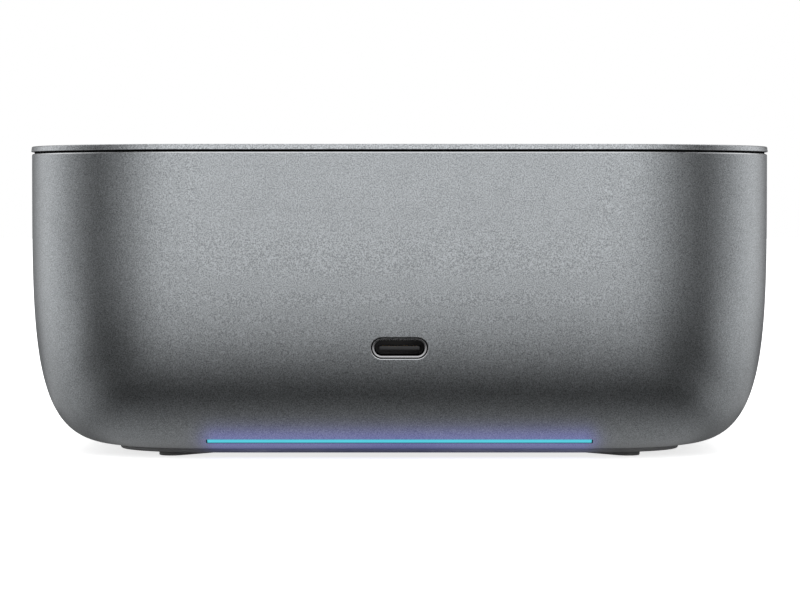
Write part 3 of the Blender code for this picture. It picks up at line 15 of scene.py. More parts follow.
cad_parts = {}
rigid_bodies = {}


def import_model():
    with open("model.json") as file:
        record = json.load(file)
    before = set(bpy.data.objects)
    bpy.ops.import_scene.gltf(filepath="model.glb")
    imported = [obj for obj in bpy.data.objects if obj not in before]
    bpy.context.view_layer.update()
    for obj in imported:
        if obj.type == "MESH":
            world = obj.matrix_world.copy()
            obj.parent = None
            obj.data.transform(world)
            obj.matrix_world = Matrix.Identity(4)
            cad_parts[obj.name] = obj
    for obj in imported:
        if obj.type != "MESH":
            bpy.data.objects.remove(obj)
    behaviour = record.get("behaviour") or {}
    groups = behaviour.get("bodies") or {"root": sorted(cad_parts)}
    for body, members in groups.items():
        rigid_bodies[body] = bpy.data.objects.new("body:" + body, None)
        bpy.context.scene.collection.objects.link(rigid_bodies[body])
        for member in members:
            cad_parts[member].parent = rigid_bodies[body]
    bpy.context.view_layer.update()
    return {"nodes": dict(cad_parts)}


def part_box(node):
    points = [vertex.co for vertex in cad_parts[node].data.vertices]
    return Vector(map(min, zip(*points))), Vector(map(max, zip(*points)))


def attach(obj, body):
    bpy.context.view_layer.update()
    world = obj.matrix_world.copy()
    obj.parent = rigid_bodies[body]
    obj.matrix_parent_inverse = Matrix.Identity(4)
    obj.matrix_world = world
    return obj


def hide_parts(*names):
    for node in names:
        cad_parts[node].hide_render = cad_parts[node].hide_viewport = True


for leftover in list(bpy.data.objects):
    bpy.data.objects.remove(leftover, do_unlink=True)
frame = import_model()

log = logging.getLogger("dock")
MM = 0.001
PAST = 1 * MM
SMOOTH = 32
SAME_POINT = 1e-7
MERGE_REACH = 1e-6
BORE_STEPS = 32
NOISE_RANGE = (0.3, 0.7)
Colour = tuple[float, float, float]
Size = tuple[float, float, float]
Pair = tuple[float, float]
Loop = list[Pair]
Stops = tuple[Pair, ...]
Ring = list[Vector]
Object = bpy.types.Object
Tree = bpy.types.NodeTree
Socket = bpy.types.NodeSocket
Outputs = bpy.types.NodeOutputs
Value = Union[float, Socket]
Key = Union[str, int]
Inputs = dict[Key, object]


class Body(Enum):
    """The bodies that made pieces ride on."""

    DOCK = "dock"
    BUTTON = "power_button"


class Corner(Enum):
    """The dock's corners."""

    FRONT_LEFT = "front_left"
    FRONT_RIGHT = "front_right"
    REAR_LEFT = "rear_left"
    REAR_RIGHT = "rear_right"


class PortShape(Enum):
    """Outline of a shelled port's opening."""

    ROUND_ENDED = "round ended"
    ROUNDED_BOX = "rounded box"
    TWO_CUT = "two lower corners cut"
    ONE_CUT = "one lower corner cut"


class Lines(Enum):
    """How much longer the fine lines of a metal are along X, Y and Z."""

    ALONG_X = (30.0, 1.0, 1.0)
    ALONG_Y = (1.0, 30.0, 1.0)
    ROUND = (20.0, 20.0, 1.0)


class Family(Enum):
    """What a node group is for."""

    SHADER = "ShaderNodeTree"
    GEOMETRY = "GeometryNodeTree"


class Kind(Enum):
    """What a node group's socket holds."""

    FLOAT = "NodeSocketFloat"
    VECTOR = "NodeSocketVector"
    GEOMETRY = "NodeSocketGeometry"
    INTEGER = "NodeSocketInt"
    MATERIAL = "NodeSocketMaterial"


# Loops and rings


def rounded_loop(half_x: float, half_y: float, radius: float, steps: int) -> Loop:
    """A rectangle with round corners.

    Args:
        half_x: Half its width.
        half_y: Half its height.
        radius: Radius of its corners.
        steps: Facets in each corner.

    Returns:
        Its points, anticlockwise from the right.
    """
    points: Loop = []
    for quarter, (side_x, side_y) in enumerate(((1, 1), (-1, 1), (-1, -1), (1, -1))):
        for step in range(steps + 1):
            angle = math.pi / 2 * (quarter + step / steps)
            x = side_x * (half_x - radius) + radius * math.cos(angle)
            y = side_y * (half_y - radius) + radius * math.sin(angle)
            if not points or math.dist(points[-1], (x, y)) > SAME_POINT:
                points.append((x, y))
    if math.dist(points[0], points[-1]) < SAME_POINT:
        points.pop()
    return points


def cut_loop(half_x: float, half_y: float, cuts: Pair, radius: float, steps: int) -> Loop:
    """A rectangle whose two lower corners are cut at 45 degrees, all corners slightly rounded.

    Args:
        half_x: Half its width.
        half_y: Half its height.
        cuts: Cut of the lower left and the lower right corner.
        radius: Rounding of every corner.
        steps: Facets in each rounding.

    Returns:
        Its points, anticlockwise.
    """
    corners = [Vector((half_x, half_y)), Vector((-half_x, half_y))]
    for side, cut in zip((-1, 1), cuts):
        ends = [Vector((side * half_x, cut - half_y)), Vector((side * (half_x - cut), -half_y))]
        corners += ends[::-side] if cut else ends[:1]
    points: Loop = []
    for index, corner in enumerate(corners):
        before = (corners[index - 1] - corner).normalized()
        after = (corners[(index + 1) % len(corners)] - corner).normalized()
        reach = radius / math.tan(before.angle(after) / 2)
        start, end = corner + before * reach, corner + after * reach
        for step in range(steps + 1):
            share = step / steps
            spot = start * (1 - share) ** 2 + corner * 2 * share * (1 - share) + end * share**2
            points.append((spot.x, spot.y))
    return points


def circle(radius: float, steps: int) -> Loop:
    """Points of a circle round the origin, anticlockwise."""
    turns = [2 * math.pi * step / steps for step in range(steps)]
    return [(radius * math.cos(turn), radius * math.sin(turn)) for turn in turns]


def quarter_round(radius: float, steps: int) -> Loop:
    """Points round an edge from side to top: how far each lies in from the side and under the top."""
    turns = [math.pi / 2 * step / steps for step in range(steps + 1)]
    return [(radius * (1 - math.cos(turn)), radius * (1 - math.sin(turn))) for turn in turns]


def shifted(loop: Loop, x: float, y: float) -> Loop:
    """A loop moved in its own plane."""
    return [(px + x, py + y) for px, py in loop]


def level(loop: Loop, z: float) -> Ring:
    """A loop laid flat at a height."""
    return [Vector((x, y, z)) for x, y in loop]


def upright(loop: Loop, y: float) -> Ring:
    """A loop stood up across Y, its second coordinate as height."""
    return [Vector((x, y, z)) for x, z in loop]


def stepped(half: Vector, corner: float, steps: int, stations: Loop) -> list[Ring]:
    """Level rings of a rectangle with round corners, at pairs of an inset and a height."""
    loops = [rounded_loop(half.x - inset, half.y - inset, corner - inset, steps) for inset, _ in stations]
    return [level(loop, z) for loop, (_, z) in zip(loops, stations)]


def turned(centre: Pair, steps: int, profile: Loop) -> list[Ring]:
    """Level rings of a turned shape, at pairs of a radius and a height."""
    return [level(shifted(circle(radius, steps), *centre), z) for radius, z in profile]


# Meshes and pieces


def add_object(name: str, mesh: bpy.types.Mesh) -> Object:
    """Links a new object with a mesh into the scene.

    Args:
        name: Name of the object.
        mesh: Its mesh.

    Returns:
        The object.
    """
    made = bpy.data.objects.new(name, mesh)
    bpy.context.scene.collection.objects.link(made)
    return made


def shade(mesh: bpy.types.Mesh, smooth: float = SMOOTH) -> None:
    """Shades a mesh smooth up to an edge angle in degrees."""
    mesh.shade_smooth()
    mesh.set_sharp_from_angle(angle=math.radians(smooth))


def skin(name: str, skins: list[list[Ring]], looped: bool = False, smooth: float = SMOOTH) -> Object:
    """An object of closed skins, each lofted through its rings.

    Args:
        name: Name of the object.
        skins: For each skin, its rings, all of one count.
        looped: Whether the last ring joins the first, instead of both being capped.
        smooth: Angle in degrees up to which edges are shaded smooth.

    Returns:
        The object, its faces pointing out.
    """
    shape = bmesh.new()
    for rings in skins:
        rows = [[shape.verts.new(point) for point in ring] for ring in rings]
        pairs = list(zip(rows, rows[1:]))
        if looped:
            pairs.append((rows[-1], rows[0]))
        else:
            shape.faces.new(rows[0])
            shape.faces.new(rows[-1])
        for near, far in pairs:
            for index in range(len(near)):
                after = (index + 1) % len(near)
                shape.faces.new((near[index], near[after], far[after], far[index]))
    bmesh.ops.recalc_face_normals(shape, faces=shape.faces)
    mesh = bpy.data.meshes.new(name)
    shape.to_mesh(mesh)
    shape.free()
    shade(mesh, smooth)
    return add_object(name, mesh)


def bake(piece: Object, smooth: float = SMOOTH) -> None:
    """Turns a piece's modifiers into plain mesh.

    Args:
        piece: The object whose modifiers are applied and removed.
        smooth: Angle in degrees up to which edges are shaded smooth.
    """
    graph = bpy.context.evaluated_depsgraph_get()
    mesh = bpy.data.meshes.new_from_object(piece.evaluated_get(graph), depsgraph=graph)
    piece.modifiers.clear()
    piece.data = mesh
    shade(mesh, smooth)


def carve(piece: Object, tools: list[Object], union: bool = False, smooth: float = SMOOTH) -> None:
    """Cuts objects out of a piece or adds them, with their materials on the new faces, and removes them.

    Args:
        piece: What is changed.
        tools: The objects cut out of it or added to it.
        union: Whether they are added.
        smooth: Angle in degrees up to which edges are shaded smooth.
    """
    for tool in tools:
        step = piece.modifiers.new(tool.name, "BOOLEAN")
        step.operation = "UNION" if union else "DIFFERENCE"
        step.solver = "EXACT"
        step.material_mode = "TRANSFER"
        step.object = tool
    bake(piece, smooth)
    for tool in tools:
        bpy.data.objects.remove(tool, do_unlink=True)


def cutter(name: str, skins: list[list[Ring]], finish: "Finish") -> Object:
    """A cutting object whose finish the cut faces take on.

    Args:
        name: Name of the object.
        skins: Rings of each closed skin.
        finish: Finish of the cut faces.

    Returns:
        The object.
    """
    made = skin(name, skins)
    dress(made, finish)
    return made


def join(name: str, pieces: list[Object]) -> Object:
    """Joins objects at the origin into one, with the materials of each.

    Args:
        name: Name of the joined object.
        pieces: The objects, which are removed.

    Returns:
        The joined object.
    """
    mesh = bpy.data.meshes.new(name)
    shape = bmesh.new()
    for piece in pieces:
        offset = len(mesh.materials)
        for made in piece.data.materials:
            mesh.materials.append(made)
        before = len(shape.faces)
        shape.from_mesh(piece.data)
        shape.faces.ensure_lookup_table()
        for face in shape.faces[before:]:
            face.material_index += offset
    shape.to_mesh(mesh)
    shape.free()
    for piece in pieces:
        bpy.data.objects.remove(piece, do_unlink=True)
    shade(mesh)
    return add_object(name, mesh)


def dress(piece: Object, finish: "Finish", *zones: tuple["Finish", Callable[[Vector], bool]]) -> None:
    """Gives a piece its finish, and other finishes to the faces of some zones.

    Args:
        piece: The piece.
        finish: Its main finish.
        zones: Pairs of a finish and a test on a face's middle.
    """
    mesh = piece.data
    mesh.materials.append(finish.material())
    for number, (other, inside) in enumerate(zones, 1):
        mesh.materials.append(other.material())
        for face in mesh.polygons:
            if inside(face.center):
                face.material_index = number


def repaint(finish: "Finish", *nodes: str) -> None:
    """Gives CAD nodes that stay in sight a finish.

    Args:
        finish: The finish.
        nodes: The nodes' names.
    """
    for name in nodes:
        for slot in frame["nodes"][name].material_slots:
            slot.material = finish.material()
        log.info("%s: %s", name, finish.name)


def seat(piece: Object, body: Body, slot: str, *nodes: str) -> None:
    """Makes a piece ride on a body and stand for CAD nodes.

    Args:
        piece: The finished piece.
        body: Body that it rides on.
        slot: Not used.
        nodes: CAD nodes that it replaces.
    """
    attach(piece, body.value)
    if nodes:
        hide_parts(*nodes)
    log.info("%s: %d faces, for %s", piece.name, len(piece.data.polygons), ", ".join(nodes) or "detail")


# Nodes


class Sketch:
    """Adds and links nodes in one tree."""

    def __init__(self, tree: Tree) -> None:
        """Starts on a tree."""
        self.tree = tree

    def fill(self, node: bpy.types.Node, inputs: Inputs) -> None:
        """Links sockets to a node's inputs, or sets the inputs' own values.

        Args:
            node: The node.
            inputs: Sockets or values, by the input's name or index.
        """
        for key, value in inputs.items():
            if isinstance(value, Socket):
                self.tree.links.new(value, node.inputs[key])
            else:
                node.inputs[key].default_value = value

    def add(self, kind: str, inputs: Optional[Inputs] = None, **settings: object) -> bpy.types.Node:
        """Adds a node.

        Args:
            kind: Its type's identifier.
            inputs: Sockets or values for its inputs.
            settings: Properties of the node.

        Returns:
            The node.
        """
        node = self.tree.nodes.new(kind)
        for name, value in settings.items():
            setattr(node, name, value)
        self.fill(node, inputs or {})
        return node

    def take(self, kind: str, inputs: Optional[Inputs] = None, output: Key = 0, **settings: object) -> Socket:
        """Adds a node and returns one of its outputs."""
        return self.add(kind, inputs, **settings).outputs[output]

    def math(self, operation: str, first: Value, second: Value = 0.0) -> Socket:
        """Adds a Math node and returns its result."""
        return self.take("ShaderNodeMath", {0: first, 1: second}, operation=operation)

    def ramp(self, value: Socket, low: Value, high: Value, start: Value = 0.0, end: Value = 1.0) -> Socket:
        """Adds a Map Range node that eases from a start to an end, and returns its result."""
        inputs = {"Value": value, "From Min": low, "From Max": high, "To Min": start, "To Max": end}
        return self.take("ShaderNodeMapRange", inputs, "Result", interpolation_type="SMOOTHSTEP")

    def mix(self, share: Value, first: object, second: object) -> Socket:
        """Adds a colour Mix node with a share of the second colour, and returns its result."""
        return self.take("ShaderNodeMix", {"Factor": share, 6: first, 7: second}, 2, data_type="RGBA")

    def noise(self, vector: Socket, size: Value, detail: float) -> Socket:
        """Adds a Noise Texture whose features have a size, and returns its value."""
        scale = self.math("DIVIDE", 1.0, size)
        return self.take("ShaderNodeTexNoise", {"Vector": vector, "Scale": scale, "Detail": detail}, "Fac")

    def parts(self, vector: Socket) -> Outputs:
        """The X, Y and Z of a vector."""
        return self.add("ShaderNodeSeparateXYZ", {"Vector": vector}).outputs

    def vector(self, **parts: Value) -> Socket:
        """A vector of an X, Y and Z."""
        return self.take("ShaderNodeCombineXYZ", parts)


@dataclass(frozen=True)
class Port:
    """One socket of a node group's interface."""

    name: str
    kind: Kind = Kind.FLOAT
    default: object = None


class Group(Sketch):
    """A sketch of a new node group, with its inputs."""

    def __init__(self, name: str, family: Family, inputs: list[Port], outputs: list[Port]) -> None:
        """Makes the group and its interface.

        Args:
            name: Name of the group.
            family: What it is for.
            inputs: Its inputs.
            outputs: Its outputs.
        """
        super().__init__(bpy.data.node_groups.new(name, family.value))
        for ports, direction in ((inputs, "INPUT"), (outputs, "OUTPUT")):
            for port in ports:
                kind = port.kind.value
                socket = self.tree.interface.new_socket(port.name, in_out=direction, socket_type=kind)
                if port.default is not None:
                    socket.default_value = port.default
        self.given = self.add("NodeGroupInput").outputs
        self.result = self.add("NodeGroupOutput")

    def give(self, results: Inputs) -> Tree:
        """Links the group's results and returns its tree."""
        self.fill(self.result, results)
        return self.tree


class Effects:
    """Shader node groups that several finishes share. Each is built once."""

    @staticmethod
    def group(name: str, values: dict[str, object], *results: str) -> Group:
        """A group with a Vector input, inputs with default values, and results that are single values.

        Args:
            name: Name of the group.
            values: Default of each input, three numbers for a vector.
            results: Names of the results.

        Returns:
            A sketch of the group.
        """
        inputs = [Port("Vector", Kind.VECTOR)]
        for key, value in values.items():
            inputs.append(Port(key, Kind.VECTOR if isinstance(value, tuple) else Kind.FLOAT, value))
        return Group(name, Family.SHADER, inputs, [Port(result) for result in results])

    @staticmethod
    @cache
    def blast_grain() -> Tree:
        """Bead-blasted grain: small craters over a fainter, coarser mottling.

        Returns:
            A group that gives a Shade round 0.5 and a Height.
        """
        group = Effects.group("blast_grain", {"Grain Size": 0.0003, "Mottle Size": 0.004}, "Shade", "Height")
        crater_depth, mottle_share, detail = 0.5, 0.06, 2.0
        vector, size = group.given["Vector"], group.given["Grain Size"]
        cells = {"Vector": vector, "Scale": group.math("DIVIDE", 1.0, size), "Smoothness": 0.6}
        craters = group.take("ShaderNodeTexVoronoi", cells, "Distance", feature="SMOOTH_F1")
        speckle = group.noise(vector, size, detail)
        mottle = group.noise(vector, group.given["Mottle Size"], detail)
        fine = group.math("MULTIPLY", speckle, 1 - mottle_share)
        both = group.math("ADD", fine, group.math("MULTIPLY", mottle, mottle_share))
        height = group.math("ADD", group.math("MULTIPLY", craters, crater_depth), speckle)
        return group.give({"Shade": both, "Height": height})

    @staticmethod
    @cache
    def spark_texture() -> Tree:
        """Spark-eroded moulding texture with faint cloudiness from handling.

        Returns:
            A group that gives a Height, and a Cloud from 0 to 1.
        """
        sizes = {"Texture Size": 0.0004, "Cloud Size": 0.02}
        group = Effects.group("spark_texture", sizes, "Height", "Cloud")
        vector, size = group.given["Vector"], group.given["Texture Size"]
        cells = {"Vector": vector, "Scale": group.math("DIVIDE", 1.0, size)}
        pits = group.take("ShaderNodeTexVoronoi", cells, "Distance", feature="F1")
        height = group.math("ADD", pits, group.noise(vector, size, detail=3.0))
        cloud = group.noise(vector, group.given["Cloud Size"], detail=4.0)
        return group.give({"Height": height, "Cloud": group.ramp(cloud, low=0.35, high=0.65)})

    @staticmethod
    @cache
    def drawn_lines() -> Tree:
        """Fine parallel lines of drawn, rolled or extruded metal.

        Returns:
            A group that gives Lines from 0 to 1. Stretch is how much longer the lines are along each axis.
        """
        group = Effects.group("drawn_lines", {"Line Size": 0.0001, "Stretch": (1.0, 1.0, 1.0)}, "Lines")
        ways = {0: group.given["Vector"], 1: group.given["Stretch"]}
        shrunk = group.take("ShaderNodeVectorMath", ways, operation="DIVIDE")
        return group.give({"Lines": group.noise(shrunk, group.given["Line Size"], detail=3.0)})

    @staticmethod
    @cache
    def light_spill() -> Tree:
        """Painted light: the glow that the light bar spreads over the metal and the base, as a mask by
        position.

        Returns:
            A group that gives a Mask, 1 at the bar and 0 past its reach.
        """
        lengths = {"Bar Height": 0.003, "Bar Front": -0.055, "Half Length": 0.0302}
        lengths |= {"Reach Up": 0.0024, "Reach Down": 0.0018, "Reach Aside": 0.0026}
        lengths |= {"Fade Start": 0.0074, "Fade End": 0.0125}
        group = Effects.group("light_spill", lengths, "Mask")
        get, parts = group.given, group.parts(group.given["Vector"])
        above = group.math("SUBTRACT", parts["Z"], get["Bar Height"])
        below = group.math("MULTIPLY", above, -1.0)
        past_end = group.math("SUBTRACT", group.math("ABSOLUTE", parts["X"]), get["Half Length"])
        distance: Value = 0.0
        for far, reach in ((above, "Reach Up"), (below, "Reach Down"), (past_end, "Reach Aside")):
            share = group.math("DIVIDE", group.math("MAXIMUM", far, 0.0), get[reach])
            distance = group.math("ADD", distance, group.math("MULTIPLY", share, share))
        fade = group.math("EXPONENT", group.math("MULTIPLY", distance, -1.0))
        behind = group.math("SUBTRACT", parts["Y"], get["Bar Front"])
        front = group.ramp(behind, get["Fade Start"], get["Fade End"], 1.0, 0.0)
        return group.give({"Mask": group.math("MULTIPLY", fade, front)})


class Surface(Sketch):
    """A sketch of a new material, with its shader."""

    def __init__(self, name: str) -> None:
        """Makes the material.

        Args:
            name: Its name.
        """
        self.material = bpy.data.materials.new(name)
        self.material.use_nodes = True
        super().__init__(self.material.node_tree)
        self.shader = self.tree.nodes["Principled BSDF"]

    @cached_property
    def where(self) -> Socket:
        """The material's Object coordinates."""
        return self.take("ShaderNodeTexCoord", output="Object")

    def show(self, inputs: Inputs) -> None:
        """Links or sets inputs of the shader."""
        self.fill(self.shader, inputs)

    def effect(self, tree: Tree, values: Optional[Inputs] = None) -> Outputs:
        """Places a shared effect with its own values, and returns its outputs."""
        inputs = {"Vector": self.where, **(values or {})}
        return self.add("ShaderNodeGroup", inputs, node_tree=tree).outputs

    def bump(self, height: Socket, depth: float, strength: float) -> None:
        """Gives the shader a bump of a depth in metres."""
        inputs = {"Height": height, "Distance": depth, "Strength": strength}
        self.show({"Normal": self.take("ShaderNodeBump", inputs)})

    def spill(self, colour: Colour) -> None:
        """Paints the light that the light bar spreads over the surface, as emission.

        Args:
            colour: Its colour, black for none.
        """
        if any(colour):
            mask = self.effect(Effects.light_spill())["Mask"]
            glow = self.mix(mask, (0, 0, 0, 1), (*colour, 1))
            self.show({"Emission Color": glow, "Emission Strength": 1.0})


# Finishes


@dataclass(frozen=True)
class Finish:
    """A finish with its colour and gloss. Subclasses add the detail of the real surface."""

    name: str
    colour: Colour
    roughness: float
    metallic: float = 0.0

    @cache
    def material(self) -> bpy.types.Material:
        """The finish's material, built when first asked for.

        Returns:
            The material.
        """
        on = Surface(self.name)
        on.show({"Base Color": (*self.colour, 1), "Roughness": self.roughness, "Metallic": self.metallic})
        self.detail(on)
        return on.material

    def detail(self, on: Surface) -> None:
        """Adds the surface's own detail."""
        raise NotImplementedError(self.name)

    def times(self, factor: float) -> tuple[float, float, float, float]:
        """The finish's colour times a factor."""
        return (*(part * factor for part in self.colour), 1)

    def tinted(self, on: Surface, share: Value, darker: float, lighter: float) -> Socket:
        """The finish's colour, varied from a darker factor to a lighter one."""
        return on.mix(share, self.times(darker), self.times(lighter))


@dataclass(frozen=True)
class BlastedMetal(Finish):
    """Bead-blasted, anodised aluminium, with the light bar's spill where it is near."""

    metallic: float = 1.0
    grain: float = 0.00018
    contrast: float = 0.38
    gloss_play: float = 0.03
    depth: float = 0.00001
    strength: float = 0.25
    spill: Colour = (0.0, 0.0, 0.0)

    def detail(self, on: Surface) -> None:
        """Grain in colour, gloss and height, and the spill of light.

        Args:
            on: The material's surface.
        """
        grain = on.effect(Effects.blast_grain(), {"Grain Size": self.grain})
        shade_in = on.ramp(grain["Shade"], *NOISE_RANGE)
        colour = self.tinted(on, shade_in, 1 - self.contrast, 1 + self.contrast)
        low, high = self.roughness - self.gloss_play, self.roughness + self.gloss_play
        on.show({"Base Color": colour, "Roughness": on.ramp(grain["Shade"], *NOISE_RANGE, low, high)})
        on.bump(grain["Height"], self.depth, self.strength)
        on.spill(self.spill)


@dataclass(frozen=True)
class LinedMetal(Finish):
    """Drawn, rolled, turned, extruded or diamond-cut metal with fine lines."""

    metallic: float = 1.0
    lines: Lines = Lines.ALONG_Y
    line: float = 0.00008
    tint: Pair = (0.82, 1.12)
    gloss: Pair = (0.75, 1.3)
    depth: float = 0.000004
    strength: float = 0.3

    def detail(self, on: Surface) -> None:
        """Lines in colour, gloss and height.

        Args:
            on: The material's surface.
        """
        sizes = {"Line Size": self.line, "Stretch": self.lines.value}
        lines = on.effect(Effects.drawn_lines(), sizes)["Lines"]
        low, high = (self.roughness * factor for factor in self.gloss)
        rough = on.ramp(lines, *NOISE_RANGE, low, high)
        on.show({"Base Color": self.tinted(on, lines, *self.tint), "Roughness": rough})
        if self.depth:
            on.bump(lines, self.depth, self.strength)


@dataclass(frozen=True)
class Moulding(Finish):
    """Moulded plastic, resin or rubber with a spark-eroded texture."""

    texture: float = 0.0004
    depth: float = 0.00002
    strength: float = 0.4
    cloud: float = 0.25
    gloss_play: float = 0.06
    specular: float = 0.5
    spill: Colour = (0.0, 0.0, 0.0)

    def detail(self, on: Surface) -> None:
        """Texture in height, clouding in colour and gloss, and the spill of light.

        Args:
            on: The material's surface.
        """
        texture = on.effect(Effects.spark_texture(), {"Texture Size": self.texture})
        cloud = texture["Cloud"]
        low, high = self.roughness - self.gloss_play, min(self.roughness + self.gloss_play, 1.0)
        on.show({
            "Base Color": self.tinted(on, cloud, 1 - self.cloud, 1 + self.cloud),
            "Roughness": on.ramp(cloud, 0.0, 1.0, low, high),
            "Specular IOR Level": self.specular,
        })
        on.bump(texture["Height"], self.depth, self.strength)
        on.spill(self.spill)


@dataclass(frozen=True)
class CircuitBoard(Finish):
    """Solder mask over copper tracks, with the bare ends of vias."""

    copper: Colour = (0.02, 0.11, 0.06)
    via: Colour = (0.6, 0.5, 0.3)
    via_gloss: float = 0.3
    via_size: float = 0.16
    via_scale: float = 260.0
    track_scale: float = 90.0
    track_width: float = 0.09
    dim: float = 0.8
    depth: float = 0.00003
    strength: float = 0.4

    def detail(self, on: Surface) -> None:
        """Tracks as bricks of two shades, and vias at cell centres.

        Args:
            on: The material's surface.
        """
        bricks = {"Vector": on.where, "Scale": self.track_scale, "Mortar Size": self.track_width}
        bricks |= {"Color1": self.times(1.0), "Color2": self.times(self.dim), "Mortar": (*self.copper, 1)}
        tracks = on.add("ShaderNodeTexBrick", bricks).outputs
        cells = {"Vector": on.where, "Scale": self.via_scale}
        centres = on.take("ShaderNodeTexVoronoi", cells, "Distance", feature="F1")
        vias = on.math("LESS_THAN", centres, self.via_size)
        on.show({
            "Base Color": on.mix(vias, tracks["Color"], (*self.via, 1)),
            "Metallic": vias,
            "Roughness": on.ramp(vias, 0.0, 1.0, self.roughness, self.via_gloss),
        })
        on.bump(tracks["Fac"], self.depth, self.strength)


@dataclass(frozen=True)
class LitGuide(Finish):
    """Light guide lit from behind: a glow that eases off at its ends and between diodes."""

    half_length: float = 0.032
    diodes: int = 8
    end: Pair = (0.985, 1.002)
    end_glow: float = 0.6
    ripple: float = 0.015
    dim: float = 0.2
    dim_gloss: float = 0.5
    unlit: Colour = (0.02, 0.05, 0.06)

    def detail(self, on: Surface) -> None:
        """Glow along the bar.

        Args:
            on: The material's surface.
        """
        x = on.parts(on.where)["X"]
        start, stop = (self.half_length * share for share in self.end)
        ends = on.ramp(on.math("ABSOLUTE", x), start, stop, 1.0, self.end_glow)
        turns = math.pi * self.diodes / self.half_length
        wave = {0: on.math("COSINE", on.math("MULTIPLY", x, turns)), 1: self.ripple, 2: 1 - self.ripple}
        glow = on.math("MULTIPLY", ends, on.take("ShaderNodeMath", wave, operation="MULTIPLY_ADD"))
        on.show({
            "Base Color": (*self.unlit, 1),
            "Roughness": on.ramp(glow, 0.0, 1.0, self.dim_gloss, self.roughness),
            "Emission Color": self.tinted(on, glow, self.dim, 1.0),
            "Emission Strength": 1.0,
        })


@dataclass(frozen=True)
class FlatLead(Finish):
    """Flat flexible lead: conductors under a clear film."""

    pitch: float = 0.0005
    conductor: Colour = (0.6, 0.55, 0.45)
    film_share: float = 0.5
    shine: float = 0.7
    depth: float = 0.00003
    strength: float = 0.5

    def detail(self, on: Surface) -> None:
        """Conductors across X.

        Args:
            on: The material's surface.
        """
        across = on.math("FRACT", on.math("DIVIDE", on.parts(on.where)["X"], self.pitch))
        wire = on.math("GREATER_THAN", across, self.film_share)
        rough = on.ramp(wire, 0.0, 1.0, self.roughness, self.roughness * self.shine)
        colour = on.mix(wire, (*self.colour, 1), (*self.conductor, 1))
        on.show({"Base Color": colour, "Roughness": rough})
        on.bump(wire, self.depth, self.strength)


# The spill colour is painted light: the light bar's glow on the housing, given as emission.
BLASTED = BlastedMetal("blasted_skin", (0.40, 0.42, 0.437), 0.33, spill=(0.04, 0.045, 0.235))
PLATE = BlastedMetal("blasted_plate", (0.40, 0.42, 0.437), 0.33)
PLATE_EDGE = BlastedMetal("milled_plate_edge", (0.48, 0.50, 0.52), 0.3)
POLISHED = LinedMetal(
    "polished_edge", (0.75, 0.765, 0.78), 0.25,
    lines=Lines.ROUND, line=0.00006, tint=(0.9, 1.1), gloss=(0.8, 1.3), depth=0.0,
)
BLACK = Moulding("black_moulding", (0.010, 0.010, 0.011), 0.5)
# Its spill colour is painted light: the light bar's glow on the base, given as emission.
BASE = Moulding("base_moulding", (0.22, 0.22, 0.225), 0.55, spill=(0.035, 0.042, 0.13))
RUBBER = Moulding("rubber_pad", (0.22, 0.22, 0.22), 0.8, texture=0.0003, depth=0.00003, cloud=0.35)
# Painted shade: a near-black finish with almost no reflection on the frame's lip, standing for the shade deep
# in the seam.
SEAM_SHADE = Moulding("matt_seam", (0.003, 0.003, 0.003), 0.9, specular=0.05)
GUIDE = LitGuide("lit_guide", (0.06, 0.56, 0.68), 0.3)
STEEL = LinedMetal("plated_steel", (0.45, 0.45, 0.46), 0.3)
NICKEL = LinedMetal("bright_nickel", (0.50, 0.50, 0.51), 0.25)
# Painted shade: a dark copy of the port shells' steel, put on their insides where shade falls.
SHADED_STEEL = LinedMetal("shell_inside", (0.05, 0.05, 0.052), 0.35)
RESIN = Moulding("tongue_resin", (0.014, 0.014, 0.015), 0.45, texture=0.0002, depth=0.00001)
GOLD = LinedMetal("gold_plating", (0.80, 0.55, 0.22), 0.25, line=0.00005)
BOARD = CircuitBoard("board_mask", (0.008, 0.05, 0.028), 0.4)
SCREW = LinedMetal("zinc_steel", (0.5, 0.5, 0.51), 0.3, lines=Lines.ALONG_X, line=0.00006)
BRASS = LinedMetal("turned_brass", (0.72, 0.52, 0.22), 0.3, lines=Lines.ALONG_X, line=0.0001)
BRONZE = LinedMetal("sintered_bronze", (0.5, 0.34, 0.18), 0.45, lines=Lines.ALONG_X, line=0.00005)
EPOXY = Moulding("epoxy_case", (0.02, 0.02, 0.021), 0.4, texture=0.00025, depth=0.00001)
PAD = Moulding("soft_pad", (0.28, 0.31, 0.38), 0.8, texture=0.0005, depth=0.00004, cloud=0.15)
FINNED = LinedMetal("extruded_aluminium", (0.62, 0.63, 0.64), 0.35, line=0.0002)
COPPER = LinedMetal("wound_copper", (0.72, 0.35, 0.20), 0.35, lines=Lines.ALONG_X, line=0.0002)
FILM = FlatLead("flat_lead", (0.30, 0.16, 0.05), 0.4)


# Geometry Nodes trees


